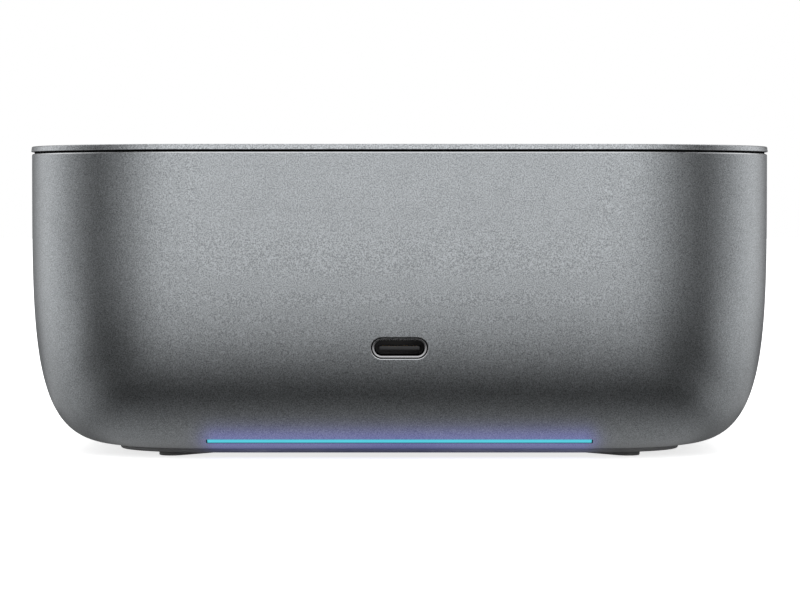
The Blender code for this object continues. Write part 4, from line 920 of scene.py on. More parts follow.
class Trees:
    """Geometry Nodes trees, each built once, and the pieces that they make."""

    @staticmethod
    def piece(name: str, tree: Tree, inputs: dict[str, object]) -> Object:
        """Makes a plain mesh object with a tree.

        Args:
            name: Name of the object.
            tree: The tree.
            inputs: Values of all the tree's inputs, by name.

        Returns:
            The object, with no modifier left on it.
        """
        made = add_object(name, bpy.data.meshes.new(name))
        step = made.modifiers.new(tree.name, "NODES")
        step.node_group = tree
        for item in tree.interface.items_tree:
            if item.in_out == "INPUT":
                step[item.identifier] = inputs[item.name]
        bake(made)
        return made

    @staticmethod
    def row(name: str, count: int, pitch: float, size: Size, corner: float, finish: Finish) -> Object:
        """A row of equal plates with round corners. They lie across XY, and the row runs along X.

        Args:
            name: Name of the object.
            count: How many plates.
            pitch: From one to the next.
            size: Width, length and thickness of a plate.
            corner: Radius of its corners.
            finish: Its finish.

        Returns:
            The object.
        """
        width, length, thick = size
        inputs = {"Count": count, "Pitch": pitch, "Width": width, "Length": length, "Corner": corner}
        inputs |= {"Thickness": thick, "Finish": finish.material()}
        return Trees.piece(name, Trees.plate_row(), inputs)

    @staticmethod
    def rounded(group: Group, width: Value, height: Value, radius: Value, count: Value) -> Socket:
        """A curve round a rectangle with round corners.

        Args:
            group: Sketch of the tree.
            width: The rectangle's width.
            height: Its height.
            radius: Radius of its corners.
            count: Points in each corner.

        Returns:
            The curve.
        """
        outline = group.take("GeometryNodeCurvePrimitiveQuadrilateral", {"Width": width, "Height": height})
        corners = {"Curve": outline, "Radius": radius, "Count": count}
        return group.take("GeometryNodeFilletCurve", corners, mode="POLY")

    @staticmethod
    @cache
    def bowl_housing() -> Tree:
        """The housing: a wall section of superellipses and straight lands, swept round the rim's outline.

        Returns:
            The tree.
        """
        lengths = ["Width", "Depth", "Corner Radius", "Rim Height", "Bowl Height", "Bowl Sweep"]
        lengths += ["First Angle", "Last Angle", "Side Power", "Under Power", "Wall", "Inner Height"]
        lengths += ["Inner Sweep", "Edge Inset", "Edge Height", "Seat Height", "Hole Inset"]
        lengths += ["Floor Height", "Rim Chamfer", "Rim Lean", "Rim Break"]
        ports = [Port(name) for name in lengths]
        ports += [Port("Corner Points", Kind.INTEGER), Port("Wall Points", Kind.INTEGER)]
        ports += [Port("Skin", Kind.MATERIAL), Port("Edge", Kind.MATERIAL)]
        group = Group("bowl_housing", Family.GEOMETRY, ports, [Port("Geometry", Kind.GEOMETRY)])
        get = group.given
        rim = get["Rim Height"]

        def spot(inset: Value, height: Value) -> Socket:
            """A point of the section in the sweep's own plane, whose axes point out and down."""
            return group.vector(X=group.math("MULTIPLY", inset, -1.0), Y=group.math("MULTIPLY", height, -1.0))

        def line(start: tuple[Value, Value], end: tuple[Value, Value]) -> Socket:
            """A straight land of the section between two points of inset and height."""
            return group.take("GeometryNodeCurvePrimitiveLine", {"Start": spot(*start), "End": spot(*end)})

        def wall(start: Value, height: Value, sweep: Value, first: Value, last: Value) -> Socket:
            """A superellipse of the section, whose angle is 0 at the rim.

            Args:
                start: Its inset at the rim.
                height: How far it falls.
                sweep: How far it runs in.
                first: Angle that it starts at.
                last: Angle that it ends at.

            Returns:
                The curve.
            """
            run = {"Curve": group.take("GeometryNodeCurvePrimitiveLine"), "Count": get["Wall Points"]}
            points = group.take("GeometryNodeResampleCurve", run)
            share = group.take("GeometryNodeSplineParameter", output="Factor")
            part = group.math("MULTIPLY", share, group.math("SUBTRACT", last, first))
            angle = group.math("ADD", first, part)
            across = group.math("MAXIMUM", group.math("COSINE", angle), 0.0)
            round_in = group.math("POWER", across, group.math("DIVIDE", 2.0, get["Under Power"]))
            inset = group.math("MULTIPLY", group.math("SUBTRACT", 1.0, round_in), sweep)
            fall = group.math("DIVIDE", 2.0, get["Side Power"])
            drop = group.math("MULTIPLY", group.math("POWER", group.math("SINE", angle), fall), height)
            where = spot(group.math("ADD", inset, start), group.math("SUBTRACT", rim, drop))
            return group.take("GeometryNodeSetPosition", {"Geometry": points, "Position": where})

        lands = [
            (get["Edge Inset"], get["Edge Height"]),
            (get["Edge Inset"], get["Seat Height"]),
            (get["Hole Inset"], get["Seat Height"]),
            (get["Hole Inset"], get["Floor Height"]),
            (group.math("ADD", get["Wall"], get["Inner Sweep"]), get["Floor Height"]),
        ]
        chamfer_z = group.math("SUBTRACT", rim, get["Rim Chamfer"])
        rim_lands = [
            (get["Wall"], rim),
            (group.math("ADD", get["Rim Lean"], get["Rim Break"]), rim),
            (get["Rim Lean"], group.math("SUBTRACT", rim, get["Rim Break"])),
            (0.0, chamfer_z),
        ]
        sections = [line(near, far) for run in (lands, rim_lands) for near, far in zip(run, run[1:])]
        angles = (get["First Angle"], get["Last Angle"])
        sections.append(wall(0.0, get["Bowl Height"], get["Bowl Sweep"], *angles))
        sections.append(wall(get["Wall"], get["Inner Height"], get["Inner Sweep"], math.pi / 2, 0.0))
        section = group.add("GeometryNodeJoinGeometry")
        for part in sections:
            group.fill(section, {0: part})
        rounded = Trees.rounded(group, get["Width"], get["Depth"], get["Corner Radius"], get["Corner Points"])
        sweep = {"Curve": rounded, "Profile Curve": section.outputs[0]}
        swept = group.take("GeometryNodeCurveToMesh", sweep)
        merged = group.take("GeometryNodeMergeByDistance", {"Geometry": swept, "Distance": MERGE_REACH})
        whole = group.take("GeometryNodeRealizeInstances", {"Geometry": merged})
        dressed = group.take("GeometryNodeSetMaterial", {"Geometry": whole, "Material": get["Skin"]})
        height = group.parts(group.take("GeometryNodeInputPosition"))["Z"]
        top = group.math("GREATER_THAN", height, chamfer_z)
        edge = {"Geometry": dressed, "Selection": top, "Material": get["Edge"]}
        return group.give({"Geometry": group.take("GeometryNodeSetMaterial", edge)})

    @staticmethod
    @cache
    def plate_row() -> Tree:
        """A row of equal plates with round corners, such as contacts, or the cutters of slots.

        Returns:
            The tree. Plates lie across the XY plane, thick along Z, and the row runs along X.
        """
        ports = [Port("Count", Kind.INTEGER)]
        ports += [Port(name) for name in ("Pitch", "Width", "Length", "Corner", "Thickness")]
        ports += [Port("Finish", Kind.MATERIAL)]
        group = Group("plate_row", Family.GEOMETRY, ports, [Port("Geometry", Kind.GEOMETRY)])
        get, corner_points = group.given, 6
        rounded = Trees.rounded(group, get["Width"], get["Length"], get["Corner"], corner_points)
        face = group.take("GeometryNodeFillCurve", {"Curve": rounded}, mode="NGONS")
        up = {"Mesh": face, "Offset": group.vector(Z=get["Thickness"]), "Individual": False}
        plate = group.add("GeometryNodeJoinGeometry", {0: group.take("GeometryNodeExtrudeMesh", up, "Mesh")})
        group.fill(plate, {0: group.take("GeometryNodeFlipFaces", {"Mesh": face})})
        seams = {"Geometry": plate.outputs[0], "Distance": SAME_POINT}
        closed = group.take("GeometryNodeMergeByDistance", seams)
        half = group.math("MULTIPLY", group.math("SUBTRACT", get["Count"], 1.0), -0.5)
        start = group.vector(X=group.math("MULTIPLY", half, get["Pitch"]))
        hops = {"Count": get["Count"], "Start Location": start, "Offset": group.vector(X=get["Pitch"])}
        copies = {"Points": group.take("GeometryNodeMeshLine", hops), "Instance": closed}
        placed = group.take("GeometryNodeInstanceOnPoints", copies)
        whole = group.take("GeometryNodeRealizeInstances", {"Geometry": placed})
        dressed = group.take("GeometryNodeSetMaterial", {"Geometry": whole, "Material": get["Finish"]})
        return group.give({"Geometry": dressed})


# Sub-assemblies


@dataclass
class Housing:
    """The bowl-shaped housing shell."""

    width: float = 125.6 * MM
    depth: float = 125.6 * MM
    corner: float = 30.5 * MM
    height: float = 49.6 * MM
    sweep: float = 25 * MM
    inner_sweep: float = 16 * MM
    side_power: float = 4.2
    under_power: float = 5.0
    wall: float = 1.8 * MM
    edge_inset: float = 14.75 * MM
    floor_ring: float = 15.5 * MM
    seat_z: float = 3.95 * MM
    floor_top: float = 5.75 * MM
    rim_chamfer: float = 0.2 * MM
    rim_lean: float = 0.08 * MM
    rim_break: float = 0.05 * MM
    light_z: float = 3.07 * MM
    light_half: float = 31.85 * MM
    light_face: float = 1.05 * MM
    light_neck: float = 6.0 * MM
    slot_gap: float = 0.2 * MM
    slot_corner: float = 0.1 * MM
    port_z: float = 18.8 * MM
    port_depth: float = 7 * MM
    port_wall: float = 0.3 * MM
    port_gap: float = 0.2 * MM
    port_chamfer: float = 0.1 * MM
    port_chamfer_depth: float = 0.06 * MM
    opening_half: float = 39.29 * MM
    opening_low: float = 15.77 * MM
    opening_high: float = 43.27 * MM
    opening_corner: float = 3.0 * MM
    opening_depth: float = 9 * MM
    post_x: float = 37.116 * MM
    post_y: float = 38.902 * MM
    post_radius: float = 3.2 * MM
    post_bore: float = 1.4 * MM
    post_top: float = 15.32 * MM
    post_foot: float = 0.9 * MM
    corner_points: int = 40
    wall_points: int = 80
    smooth: float = 14

    def __post_init__(self) -> None:
        """Takes the shell's height from the frame."""
        self.low, self.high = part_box("housing_shell")

    def inset(self, z: float) -> float:
        """How far in the outer face lies at a height."""
        drop = (self.high.z - z) / self.height
        return self.sweep * (1 - (1 - drop**self.side_power) ** (1 / self.under_power))

    def front(self, z: float) -> float:
        """Y of the front face at a height, on the middle line."""
        return -(self.depth / 2 - self.inset(z))

    def light_frame(self) -> Matrix:
        """Frame of the light bar, square to the skin, with +Y into the housing.

        Returns:
            The frame.
        """
        step = 0.05 * MM
        slope = (self.inset(self.light_z + step) - self.inset(self.light_z - step)) / (2 * step)
        spot = Matrix.Translation((0, self.front(self.light_z), self.light_z))
        return spot @ Matrix.Rotation(math.atan2(-slope, 1), 4, "X")

    def shell(self) -> Object:
        """The bowl itself, from its Geometry Nodes tree.

        Returns:
            The bowl.
        """
        inputs = {
            "Width": self.width,
            "Depth": self.depth,
            "Corner Radius": self.corner,
            "Rim Height": self.high.z,
            "Bowl Height": self.height,
            "Bowl Sweep": self.sweep,
            "First Angle": math.asin((self.rim_chamfer / self.height) ** (self.side_power / 2)),
            "Last Angle": math.acos((1 - self.edge_inset / self.sweep) ** (self.under_power / 2)),
            "Side Power": self.side_power,
            "Under Power": self.under_power,
            "Wall": self.wall,
            "Inner Height": self.high.z - self.floor_top,
            "Inner Sweep": self.inner_sweep,
            "Edge Inset": self.edge_inset,
            "Edge Height": self.low.z,
            "Seat Height": self.seat_z,
            "Hole Inset": self.edge_inset + self.floor_ring,
            "Floor Height": self.floor_top,
            "Rim Chamfer": self.rim_chamfer,
            "Rim Lean": self.rim_lean,
            "Rim Break": self.rim_break,
            "Corner Points": self.corner_points,
            "Wall Points": self.wall_points,
            "Skin": BLASTED.material(),
            "Edge": POLISHED.material(),
        }
        return Trees.piece("housing_skin", Trees.bowl_housing(), inputs)

    def port_cutter(self, port: "ShelledPort") -> Object:
        """The front port's hole, flared to a polished chamfer.

        Args:
            port: The front port.

        Returns:
            The cutter.
        """
        grow = self.port_wall + self.port_gap
        wide, deep = self.port_chamfer, self.port_chamfer_depth
        rings = []
        for depth, wider in ((-2 * deep, grow + 3 * wide), (deep, grow), (self.port_depth, grow)):
            loop = shifted(port.outline(wider), 0, self.port_z)
            rings.append([Vector((x, self.front(z) + depth, z)) for x, z in loop])
        return cutter("port_hole", [rings], POLISHED)

    def slot_cutter(self) -> Object:
        """The light bar's slot, square to the skin. Its walls take the black finish, painted shade for the gap
        round the bar.

        Returns:
            The cutter.
        """
        half_x, half_z = self.light_half + self.slot_gap, self.light_face / 2 + self.slot_gap
        slot = rounded_loop(half_x, half_z, self.slot_corner, steps=3)
        # Black on the slot's walls is painted shade in the gap round the light bar.
        made = cutter("light_slot", [[upright(slot, -2 * PAST), upright(slot, self.light_neck)]], BLACK)
        made.data.transform(self.light_frame())
        return made

    def build(self, port: "ShelledPort") -> None:
        """Makes the shell, its posts, rear opening, port hole and light slot.

        Args:
            port: The front port, whose hole the shell gets.
        """
        shell = self.shell()
        posts, bores = [], []
        for x in (-self.post_x, self.post_x):
            for y in (-self.post_y, self.post_y):
                ends = (self.seat_z + self.post_foot, self.post_top)
                posts.append(turned((x, y), BORE_STEPS, [(self.post_radius, z) for z in ends]))
                ends = (self.seat_z - PAST, self.post_top + PAST)
                bores.append(turned((x, y), BORE_STEPS, [(self.post_bore, z) for z in ends]))
        carve(shell, [cutter("posts", posts, BLASTED)], union=True)
        middle = (self.opening_low + self.opening_high) / 2
        opening = rounded_loop(self.opening_half, self.opening_high - middle, self.opening_corner, steps=16)
        back = self.depth / 2
        rear = [upright(shifted(opening, 0, middle), y) for y in (back - self.opening_depth, back + 2 * PAST)]
        tools = [cutter("post_bores", bores, BLASTED), cutter("rear_opening", [rear], BLASTED)]
        carve(shell, tools + [self.port_cutter(port), self.slot_cutter()], smooth=self.smooth)
        seat(shell, Body.DOCK, "blasted_aluminium", "housing_shell")


@dataclass
class TopPlate:
    """The flat top plate and the power button in it."""

    corner: float = 30.62 * MM
    corner_steps: int = 40
    edge_round: float = 0.2 * MM
    under_chamfer: float = 0.06 * MM
    edge_draft: float = 0.08 * MM
    button_radius: float = 6.0 * MM
    button_gap: float = 0.2 * MM
    button_round: float = 0.25 * MM
    button_steps: int = 96
    button_smooth: float = 25
    hole_chamfer: float = 0.12 * MM
    dish: float = 0.12 * MM
    dish_steps: int = 8
    polish_under: float = 0.06 * MM
    least_radius: float = 0.02 * MM
    lip: float = 1.2 * MM
    lip_thick: float = 0.8 * MM
    stem_radius: float = 2.0 * MM
    stem_length: float = 1.6 * MM
    seam_inset: float = 0.55 * MM
    seam_inner: float = 2.0 * MM
    seam_fit: float = 0.02 * MM

    def seam(self) -> None:
        """A lip of the black frame between the rim and the plate, near-black and almost unreflecting, which
        paints the shade in the seam.
        """
        low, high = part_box("top_plate")
        under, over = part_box("housing_shell")[1].z + self.seam_fit, low.z - self.seam_fit
        inner, outer = self.seam_inner, self.seam_inset
        section = [(inner, under), (outer, under), (outer, over), (inner, over)]
        lip = skin("seam_shade_lip", [stepped(high, self.corner, self.corner_steps, section)], looped=True)
        # The lip's near-black finish is painted shade for the seam.
        dress(lip, SEAM_SHADE)
        seat(lip, Body.DOCK, "black_plastic")

    def plate(self) -> None:
        """The plate, with rounded upper edges and a chamfered hole for the button."""
        low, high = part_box("top_plate")
        stations = [(self.under_chamfer, low.z), (0.0, low.z + self.under_chamfer)]
        for into, under in quarter_round(self.edge_round, steps=6):
            stations.append((self.edge_draft + into, high.z - under))
        stations.append((stations[-1][0] + self.edge_round, high.z))
        plate = skin("top_plate_skin", [stepped(high, self.corner, self.corner_steps, stations)])
        dress(plate, PLATE, (PLATE_EDGE, lambda spot: low.z < spot.z < high.z))
        radius = self.button_radius + self.button_gap
        flare = self.hole_chamfer
        hole = [(radius, low.z - PAST), (radius, high.z - flare), (radius + 3 * flare, high.z + 2 * flare)]
        rings = turned(self.button_centre(), self.button_steps, hole)
        carve(plate, [cutter("button_hole", [rings], POLISHED)])
        seat(plate, Body.DOCK, "blasted_aluminium", "top_plate")

    def button_centre(self) -> Vector:
        """X and Y of the power button's middle."""
        low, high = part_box("power_button")
        return ((low + high) / 2).xy

    def button(self) -> None:
        """The button: a stem, a lip that holds it down, and a slightly dished cap with a polished edge."""
        low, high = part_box("power_button")
        lip_low = low.z + self.stem_length
        lip_high = lip_low + self.lip_thick
        cap = self.button_radius
        face = cap - self.button_round
        edge_low = high.z - self.button_round
        profile = [(self.least_radius, low.z), (self.stem_radius, low.z), (self.stem_radius, lip_low)]
        profile += [(cap + self.lip, lip_low), (cap + self.lip, lip_high), (cap, lip_high)]
        profile += [(cap, edge_low), (face, high.z)]
        for step in range(1, self.dish_steps + 1):
            radius = max(face * (1 - step / self.dish_steps), self.least_radius)
            profile.append((radius, high.z - self.dish * (1 - (radius / face) ** 2)))
        centre = self.button_centre()
        rings = turned(centre, self.button_steps, profile)
        button = skin("power_button_cap", [rings], smooth=self.button_smooth)

        def on_edge(spot: Vector) -> bool:
            """Whether a face belongs to the cap's polished edge."""
            return edge_low < spot.z < high.z - self.polish_under and math.dist(spot.xy, centre) > face

        dress(button, PLATE, (POLISHED, on_edge))
        seat(button, Body.BUTTON, "blasted_aluminium", "power_button")

    def build(self) -> None:
        """Makes the plate, its button and the seam, and dresses the frame under the plate."""
        self.plate()
        self.button()
        self.seam()
        repaint(BLACK, "top_frame")


@dataclass
class Underside:
    """The base plate with its air slots, and the feet."""

    corner: float = 15.45 * MM
    corner_steps: int = 32
    edge_round: float = 0.4 * MM
    pocket: float = 0.7 * MM
    fit: float = 0.3 * MM
    head_radius: float = 2.3 * MM
    head_top: float = 2.9 * MM
    shank_radius: float = 1.4 * MM
    screw_x: float = 37.116 * MM
    screw_y: float = 38.902 * MM
    slot_field: float = 24 * MM
    slot_width: float = 2.2 * MM
    slot_pitch: float = 4.4 * MM
    slot_rib: float = 4.0 * MM
    slot_rows: int = 9
    foot_length: float = 16 * MM
    foot_width: float = 4.2 * MM
    foot_round: float = 0.25 * MM
    foot_turn: float = math.radians(55)

    def foot_outline(self, grow: float, name: str) -> Loop:
        """A foot's capsule in its place, grown all round.

        Args:
            grow: How much it grows.
            name: The foot's node.

        Returns:
            Its points.
        """
        low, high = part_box(name)
        middle = (low + high) / 2
        half_width = self.foot_width / 2 + grow
        loop = rounded_loop(self.foot_length / 2 + grow, half_width, half_width, steps=14)
        cos = math.copysign(math.cos(self.foot_turn), middle.x)
        sin = math.copysign(math.sin(self.foot_turn), middle.y)
        return [(middle.x + x * cos - y * sin, middle.y + x * sin + y * cos) for x, y in loop]

    def slots(self, low: float, high: float) -> Object:
        """Cutter of the air slots: a row at each pitch, with a rib in the middle.

        Args:
            low: Height that it starts at.
            high: Height that it ends at.

        Returns:
            The cutter.
        """
        rows = []
        for row in range(self.slot_rows):
            y = (row - (self.slot_rows - 1) / 2) * self.slot_pitch
            length = math.sqrt(self.slot_field**2 - y**2) - self.slot_rib / 2
            size = (length, self.slot_width, high - low)
            made = Trees.row(f"slot_row_{row}", 2, length + self.slot_rib, size, self.slot_width / 2, BASE)
            made.data.transform(Matrix.Translation((0, y, low)))
            rows.append(made)
        return join("air_slots", rows)

    def build(self) -> None:
        """Makes the base plate and the feet, and dresses the screws."""
        low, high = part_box("base_plate")
        stations = [(0.0, high.z), (0.0, low.z + self.edge_round)]
        stations += [(into, low.z + over) for into, over in quarter_round(self.edge_round, steps=4)[1:]]
        plate = skin("base_skin", [stepped(high, self.corner, self.corner_steps, stations)])
        dress(plate, BASE)
        feet = [f"foot_{corner.value}" for corner in Corner]
        pockets = []
        for name in feet:
            loop = self.foot_outline(self.fit, name)
            pockets.append([level(loop, low.z - PAST / 2), level(loop, low.z + self.pocket)])
        bore = [(self.head_radius, low.z), (self.head_radius, self.head_top)]
        bore += [(self.shank_radius, self.head_top), (self.shank_radius, high.z + PAST)]
        spots = [(x, y) for x in (-self.screw_x, self.screw_x) for y in (-self.screw_y, self.screw_y)]
        holes = [turned(spot, BORE_STEPS, bore) for spot in spots]
        tools = [cutter("foot_pockets", pockets, BASE), cutter("screw_holes", holes, BASE)]
        carve(plate, tools + [self.slots(low.z - PAST, high.z + PAST)])
        seat(plate, Body.DOCK, "base_plastic", "base_plate")
        for name in feet:
            self.foot(name)
        repaint(SCREW, *(f"base_screw_{corner.value}" for corner in Corner))

    def foot(self, name: str) -> None:
        """A rubber foot with rounded lower edges.

        Args:
            name: The foot's node.
        """
        stations = [(-under, into) for into, under in quarter_round(self.foot_round, steps=4)]
        stations.append((0.0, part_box(name)[1].z))
        foot = skin(f"{name}_pad", [[level(self.foot_outline(grow, name), z) for grow, z in stations]])
        dress(foot, RUBBER)
        seat(foot, Body.DOCK, "foot_rubber", name)


@dataclass
class ShelledPort:
    """A port with a metal shell, and a tongue with contacts. Shares are of the opening's width and height."""

    name: str
    shape: PortShape
    width: float
    height: float
    length: float
    contacts: int
    contact_pitch: float
    tongue_width: float
    tongue_thick: float
    tongue_rise: float
    setback: float
    corner: float = 0.5 * MM
    least_corner: float = 0.05 * MM
    cut: float = 0.0
    both_faces: bool = True
    faces_front: bool = False
    wall: float = 0.3 * MM
    lip_round: float = 0.06 * MM
    lead_in: float = 0.12 * MM
    lip_finish: Finish = STEEL
    block_share: float = 0.3
    block_fit: float = 0.15 * MM
    tip: float = 0.12 * MM
    tip_share: float = 0.3
    tongue_corner: float = 0.2 * MM
    corner_share: float = 0.6
    contact_setback: float = 0.35 * MM
    contact_share: float = 0.62
    contact_width: float = 0.5
    contact_corner: float = 0.15
    contact_thick: float = 0.05 * MM
    contact_proud: float = 0.01 * MM

    def outline(self, grow: float) -> Loop:
        """The opening's outline, grown all round.

        Args:
            grow: How much it grows.

        Returns:
            Its points round the port's middle.
        """
        half_x, half_z = self.width / 2 + grow, self.height / 2 + grow
        if self.shape is PortShape.ROUND_ENDED:
            return rounded_loop(half_x, half_z, half_z, steps=20)
        corner = max(self.corner + grow, self.least_corner)
        if self.shape is PortShape.ROUNDED_BOX:
            return rounded_loop(half_x, half_z, corner, steps=8)
        cut = self.cut + grow * (2 - math.sqrt(2))
        cuts = (cut, cut) if self.shape is PortShape.TWO_CUT else (0.0, cut)
        return cut_loop(half_x, half_z, cuts, corner, steps=6)

    def place(self) -> tuple[float, float, float, float]:
        """Where the port is.

        Returns:
            X, mouth Y and Z of its middle, and which way along Y the mouth faces.
        """
        low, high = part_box(f"{self.name}_shell")
        mouth, way = (low.y, -1.0) if self.faces_front else (high.y, 1.0)
        return (low.x + high.x) / 2, mouth, (low.z + high.z) / 2, way

    def placed(self, grow: float) -> Loop:
        """The opening's outline in its place, grown all round."""
        x, _, z, _ = self.place()
        return shifted(self.outline(grow), x, z)

    def rings(self, stations: list[tuple[float, Loop]]) -> list[Ring]:
        """Rings of loops at depths behind the mouth."""
        x, mouth, z, way = self.place()
        return [upright(shifted(loop, x, z), mouth - way * depth) for depth, loop in stations]

    def build(self) -> None:
        """Makes the shell, whose lip leads a plug in, and the tongue with its rows of contacts."""
        stations = [(self.length, self.outline(self.wall))]
        for into, under in quarter_round(self.lip_round, steps=4):
            stations.append((under, self.outline(self.wall - into)))
        stations += [(depth, self.outline(0.0)) for depth in (self.lead_in, self.length)]
        shell = skin(f"{self.name}_shell_skin", [self.rings(stations)], looped=True)
        _, mouth, _, way = self.place()
        # Faces deeper than half the wall take the dark copy of the steel: painted shade inside the shell.
        dress(shell, self.lip_finish, (SHADED_STEEL, lambda spot: (mouth - spot.y) * way > self.wall / 2))
        seat(shell, Body.DOCK, "port_steel", f"{self.name}_shell")
        self.tongue()

    def tongue(self) -> None:
        """The insulator block, its tongue with rounded edges, and the gold contacts on it."""
        front = self.length * (1 - self.block_share)
        block = [(depth, self.outline(-self.block_fit)) for depth in (self.length, front)]
        half_x = self.width * self.tongue_width / 2
        half_z = self.height * self.tongue_thick / 2
        rise = self.height * self.tongue_rise
        tip, start, soft = self.tip, self.setback, self.tip * self.tip_share
        stations = [(front + self.length * self.block_share / 2, 0.0), (start + tip, 0.0)]
        stations += [(start + soft, soft), (start, tip)]
        plank = []
        for depth, inset in stations:
            corner = min(self.tongue_corner, half_z * self.corner_share) - inset / 2
            loop = rounded_loop(half_x - inset, half_z - inset, corner, steps=5)
            plank.append((depth, shifted(loop, 0, rise)))
        name = f"{self.name}_tongue_skin"
        pieces = [skin(f"{name}_resin", [self.rings(block), self.rings(plank)])]
        dress(pieces[0], RESIN)
        x, mouth, z, way = self.place()
        pitch, length = self.contact_pitch, (front - start) * self.contact_share
        size = (pitch * self.contact_width, length, self.contact_thick)
        corner = pitch * self.contact_corner
        middle = mouth - way * (start + self.contact_setback + length / 2)
        under = half_z + self.contact_proud - self.contact_thick
        for side in (-1, 1) if self.both_faces else (-1,):
            row = Trees.row(f"{name}_{side}", self.contacts, pitch, size, corner, GOLD)
            row.data.transform(Matrix.Translation((0, 0, under)))
            if side < 0:
                row.data.transform(Matrix.Rotation(math.pi, 4, "Y"))
            row.data.transform(Matrix.Translation((x, middle, z + rise)))
            pieces.append(row)
        seat(join(name, pieces), Body.DOCK, "port_insulator", f"{self.name}_tongue")


@dataclass
class Rear:
    """The rear panel, its network jack and its power inlet."""

    flange: float = 1.8 * MM
    flange_thick: float = 1.4 * MM
    corner: float = 3.0 * MM
    corner_steps: int = 12
    fit: float = 0.3 * MM
    edge_round: float = 0.25 * MM
    hole_gap: float = 0.26 * MM
    hole_chamfer: float = 0.15 * MM
    vents: int = 13
    vent_x: float = 9.75 * MM
    vent_low: float = 37.74 * MM
    vent_high: float = 41.47 * MM
    vent_width: float = 1.6 * MM
    vent_pitch: float = 3.2 * MM
    vent_depth: float = 12 * MM
    block_corner: float = 0.3 * MM
    block_soft: float = 0.2 * MM
    soft_share: float = 0.3
    jack_roof: float = 1.6 * MM
    jack_width: float = 11.9 * MM
    jack_height: float = 6.8 * MM
    jack_depth: float = 13.5 * MM
    key_width: float = 6.1 * MM
    key_height: float = 1.6 * MM
    bore: float = 3.9 * MM
    bore_depth: float = 9.8 * MM

    def flared(self, outline: Callable[[float], Loop], gap: float, near: float, face: float) -> list[Ring]:
        """A hole through to a face, with a small chamfer there.

        Args:
            outline: Gives the outline of what stands in the hole, for a growth.
            gap: Gap round it.
            near: Y where the hole starts.
            face: Y of the face.

        Returns:
            The cutter's rings.
        """
        flare = self.hole_chamfer
        stations = ((gap, near), (gap, face - flare), (gap + 3 * flare, face + 2 * flare))
        return [upright(outline(grow), y) for grow, y in stations]

    def block_loop(self, name: str, grow: float) -> Loop:
        """Outline of a block-shaped node seen from behind, grown all round.

        Args:
            name: The node.
            grow: How much it grows.

        Returns:
            Its points.
        """
        low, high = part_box(name)
        half_x, half_z = (high.x - low.x) / 2 + grow, (high.z - low.z) / 2 + grow
        loop = rounded_loop(half_x, half_z, self.block_corner + grow, steps=5)
        return shifted(loop, (low.x + high.x) / 2, (low.z + high.z) / 2)

    def panel(self, ports: list[ShelledPort]) -> None:
        """The panel, its flange behind the wall, a hole for each port, and the vents.

        Args:
            ports: The shelled ports that stand in it.
        """
        low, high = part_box("rear_panel")
        middle = (low.z + high.z) / 2
        inset, front = self.flange + self.fit, low.y + self.flange_thick
        corner = self.corner - self.fit
        stations = [(0.0, self.corner, low.y), (0.0, self.corner, front), (inset, corner, front)]
        for into, under in quarter_round(self.edge_round, steps=4):
            stations.append((inset + into, corner - into, high.y - under))
        rings = []
        for into, corner, y in stations:
            loop = rounded_loop(high.x - into, high.z - middle - into, corner, self.corner_steps)
            rings.append(upright(shifted(loop, 0, middle), y))
        panel = skin("rear_panel_skin", [rings])
        dress(panel, BLACK)
        shapes = [(port.placed, port.wall + self.hole_gap) for port in ports]
        for name in ("network_jack", "power_inlet"):
            shapes.append((partial(self.block_loop, name), self.hole_gap))
        tools = []
        for index, (outline, gap) in enumerate(shapes):
            tools.append(cutter(f"hole_{index}", [self.flared(outline, gap, low.y - PAST, high.y)], BLACK))
        size = (self.vent_width, self.vent_high - self.vent_low, self.vent_depth)
        vents = Trees.row("vent_slots", self.vents, self.vent_pitch, size, self.vent_width / 2, BLACK)
        spot = Matrix.Translation((self.vent_x, high.y + 4 * PAST, (self.vent_low + self.vent_high) / 2))
        vents.data.transform(spot @ Matrix.Rotation(math.pi / 2, 4, "X"))
        carve(panel, tools + [vents])
        seat(panel, Body.DOCK, "black_plastic", "rear_panel")

    def mouth(self, top: float, middle: float, grow: float) -> Loop:
        """The network jack's mouth with its key below, grown all round.

        Args:
            top: Height of its upper edge.
            middle: X of its middle.
            grow: How much it grows.

        Returns:
            Its points.
        """
        half, key = self.jack_width / 2 + grow, self.key_width / 2 + grow
        step = top - self.jack_height - grow
        foot = step - self.key_height
        left = [(-half, top + grow), (-half, step), (-key, step), (-key, foot)]
        return [(middle + x, z) for x, z in left + [(-x, z) for x, z in reversed(left)]]

    def block(self, name: str) -> Object:
        """A moulded block with softened edges, in a block-shaped node's place.

        Args:
            name: The node.

        Returns:
            The block.
        """
        low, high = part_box(name)
        soft, softer = self.block_soft, self.block_soft * self.soft_share
        stations = ((0.0, low.y), (0.0, high.y - soft), (-softer, high.y - softer), (-soft, high.y))
        made = skin(f"{name}_block", [[upright(self.block_loop(name, grow), y) for grow, y in stations]])
        dress(made, BLACK)
        return made

    def jack(self) -> None:
        """The network jack's block with its keyed mouth."""
        low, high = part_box("network_jack")
        mouth = partial(self.mouth, high.z - self.jack_roof, (low.x + high.x) / 2)
        jack = self.block("network_jack")
        rings = self.flared(mouth, 0.0, high.y - self.jack_depth, high.y)
        carve(jack, [cutter("jack_mouth", [rings], BLACK)])
        seat(jack, Body.DOCK, "black_plastic", "network_jack")
        repaint(GOLD, "network_jack_contacts")

